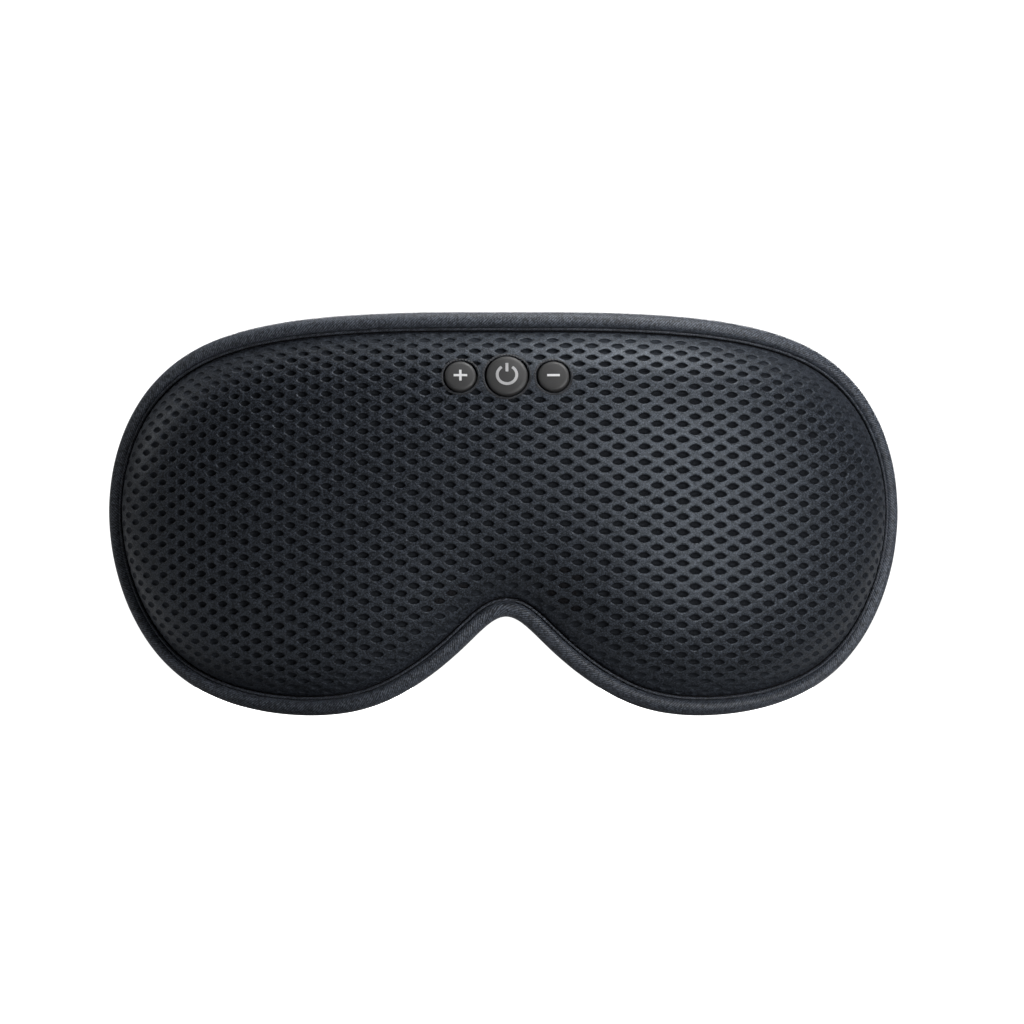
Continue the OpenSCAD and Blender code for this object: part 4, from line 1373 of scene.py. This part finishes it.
def build_hinge():
    rows = HINGE_ROWS
    columns = HINGE_COLUMNS
    z = np.linspace(FLAP_TOP - 0.6, ANCHOR_Z - 0.3, rows)
    x = np.linspace(-HINGE_HALF, HINGE_HALF, columns)
    front = []
    back = []
    for h in z:
        thin = 0.3 - 0.12 * math.exp(-(((h - 4.8) / 0.5) ** 2))
        for v in x:
            front.append((v, HINGE_Y - thin, h))
            back.append((v, HINGE_Y + thin, h))
    n = rows * columns
    faces = grid_faces(rows, columns)
    faces += flip(shifted(faces, n))
    border = list(range(columns)) + [r * columns + columns - 1 for r in range(1, rows)]
    border += [n - 1 - k for k in range(1, columns)]
    border += [r * columns for r in range(rows - 2, 0, -1)]
    for a, b in zip(border, border[1:] + border[:1]):
        faces.append((b, a, n + a, n + b))
    hinge = add_mesh("flap_hinge_strip", from_face(np.array(front + back)), faces, RUBBER, None,
                     "port_flap_hinge", "flap_rubber", smooth=False)
    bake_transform(hinge)


build_hinge()

# ---- Floor, light and camera ----
FLOOR_Z = cad_low.z / MM - 0.6
FLOOR_REACH = 14000.0
FLOOR_SEEN = (rgb(0.86, 0.86, 0.86), rgb(0.9, 0.9, 0.9))
FLOOR_LIT = rgb(0.34, 0.34, 0.34)  # what the floor sends back at the mask
WORLD_LIT = 0.004
WORLD_SEEN = 1.2


def floor_look():
    look = Look("studio_paper", roughness=0.9, specular=0.1)
    paper = look.noise(look.coordinates("object"), 0.02, 3.0)
    camera_ray = look.node("LightPath").outputs["Is Camera Ray"]
    look.set("Base Color", look.mix(camera_ray, FLOOR_LIT, look.mix(paper, *FLOOR_SEEN)))
    far = look.node("VectorMath", {"operation": "LENGTH"})
    look.put(far.inputs[0], look.coordinates("object"))
    glow = look.ramp(far.outputs["Value"], 150.0, 600.0, 0.8, 1.1)
    look.set("Emission Color", rgb(1, 1, 1))
    look.set("Emission Strength", look.times(camera_ray, glow))
    return look.material


ends = (-FLOOR_REACH, FLOOR_REACH)
floor_points = [(x, y, FLOOR_Z) for y in ends for x in ends]
add_mesh("studio_floor", floor_points, grid_faces(2, 2), floor_look(), None)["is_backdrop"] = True


def direction(azimuth, elevation):
    """A way from the mask, in degrees: azimuth 0 is in front and positive to the right."""
    a = math.radians(azimuth)
    e = math.radians(elevation)
    return Vector((math.sin(a) * math.cos(e), -math.cos(a) * math.cos(e), math.sin(e)))


def aimed(name, data, aim, way):
    """A camera or lamp in the scene, looking back at a point."""
    made = bpy.data.objects.new(name, data)
    made.location = aim + way
    made.rotation_euler = (-way).to_track_quat("-Z", "Y").to_euler()
    bpy.context.scene.collection.objects.link(made)
    return made


# Name, azimuth, elevation, width, height and power of each soft box.
LAMP_DISTANCE = 1.7
LAMP_AIM = Vector((0, (SEAM_Y - 5) * MM, 0))
LAMPS = [
    ("key_box", 35, 7, 0.62, 0.85, 18.5),
    ("high_box", 55, 68, 0.7, 0.7, 21),
    ("back_box", 180, 64, 1.3, 0.6, 6),
    ("left_back_box", -115, 22, 0.6, 0.8, 2.4),
    ("low_back_box", 174, 12, 0.9, 0.6, 22),
]
for name, azimuth, elevation, wide, high, power in LAMPS:
    light = bpy.data.lights.new(name, "AREA")
    light.shape = "RECTANGLE"
    light.size = wide
    light.size_y = high
    light.energy = power
    lamp = aimed(name, light, LAMP_AIM, direction(azimuth, elevation) * LAMP_DISTANCE)
    lamp.visible_camera = False

world = bpy.data.worlds.new("studio")
bpy.context.scene.world = world
world.use_nodes = True
tree = world.node_tree
background = tree.nodes["Background"]
background.inputs["Color"].default_value = rgb(1, 1, 1)
ray = tree.nodes.new("ShaderNodeLightPath")
level = tree.nodes.new("ShaderNodeMapRange")
level.inputs["To Min"].default_value = WORLD_LIT
level.inputs["To Max"].default_value = WORLD_SEEN
tree.links.new(ray.outputs["Is Camera Ray"], level.inputs["Value"])
tree.links.new(level.outputs[0], background.inputs["Strength"])

CAMERA_AZIMUTH = -1.1
CAMERA_DISTANCE = 10.0
CAMERA_AIM = Vector((2.0 * MM, (SEAM_Y + 20) * MM, 0.7 * MM))
CAMERA_REACH = 60
FRAME_WIDTH = 284.6
SENSOR = 36.0
camera_data = bpy.data.cameras.new("camera")
camera_data.sensor_width = SENSOR
camera_data.lens = SENSOR * CAMERA_DISTANCE / (FRAME_WIDTH * MM)
camera_data.clip_end = CAMERA_REACH
camera = aimed("camera", camera_data, CAMERA_AIM, direction(CAMERA_AZIMUTH, 0) * CAMERA_DISTANCE)
bpy.context.scene.camera = camera
bpy.context.scene.view_settings.view_transform = "Standard"

bpy.context.view_layer.update()
low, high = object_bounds()
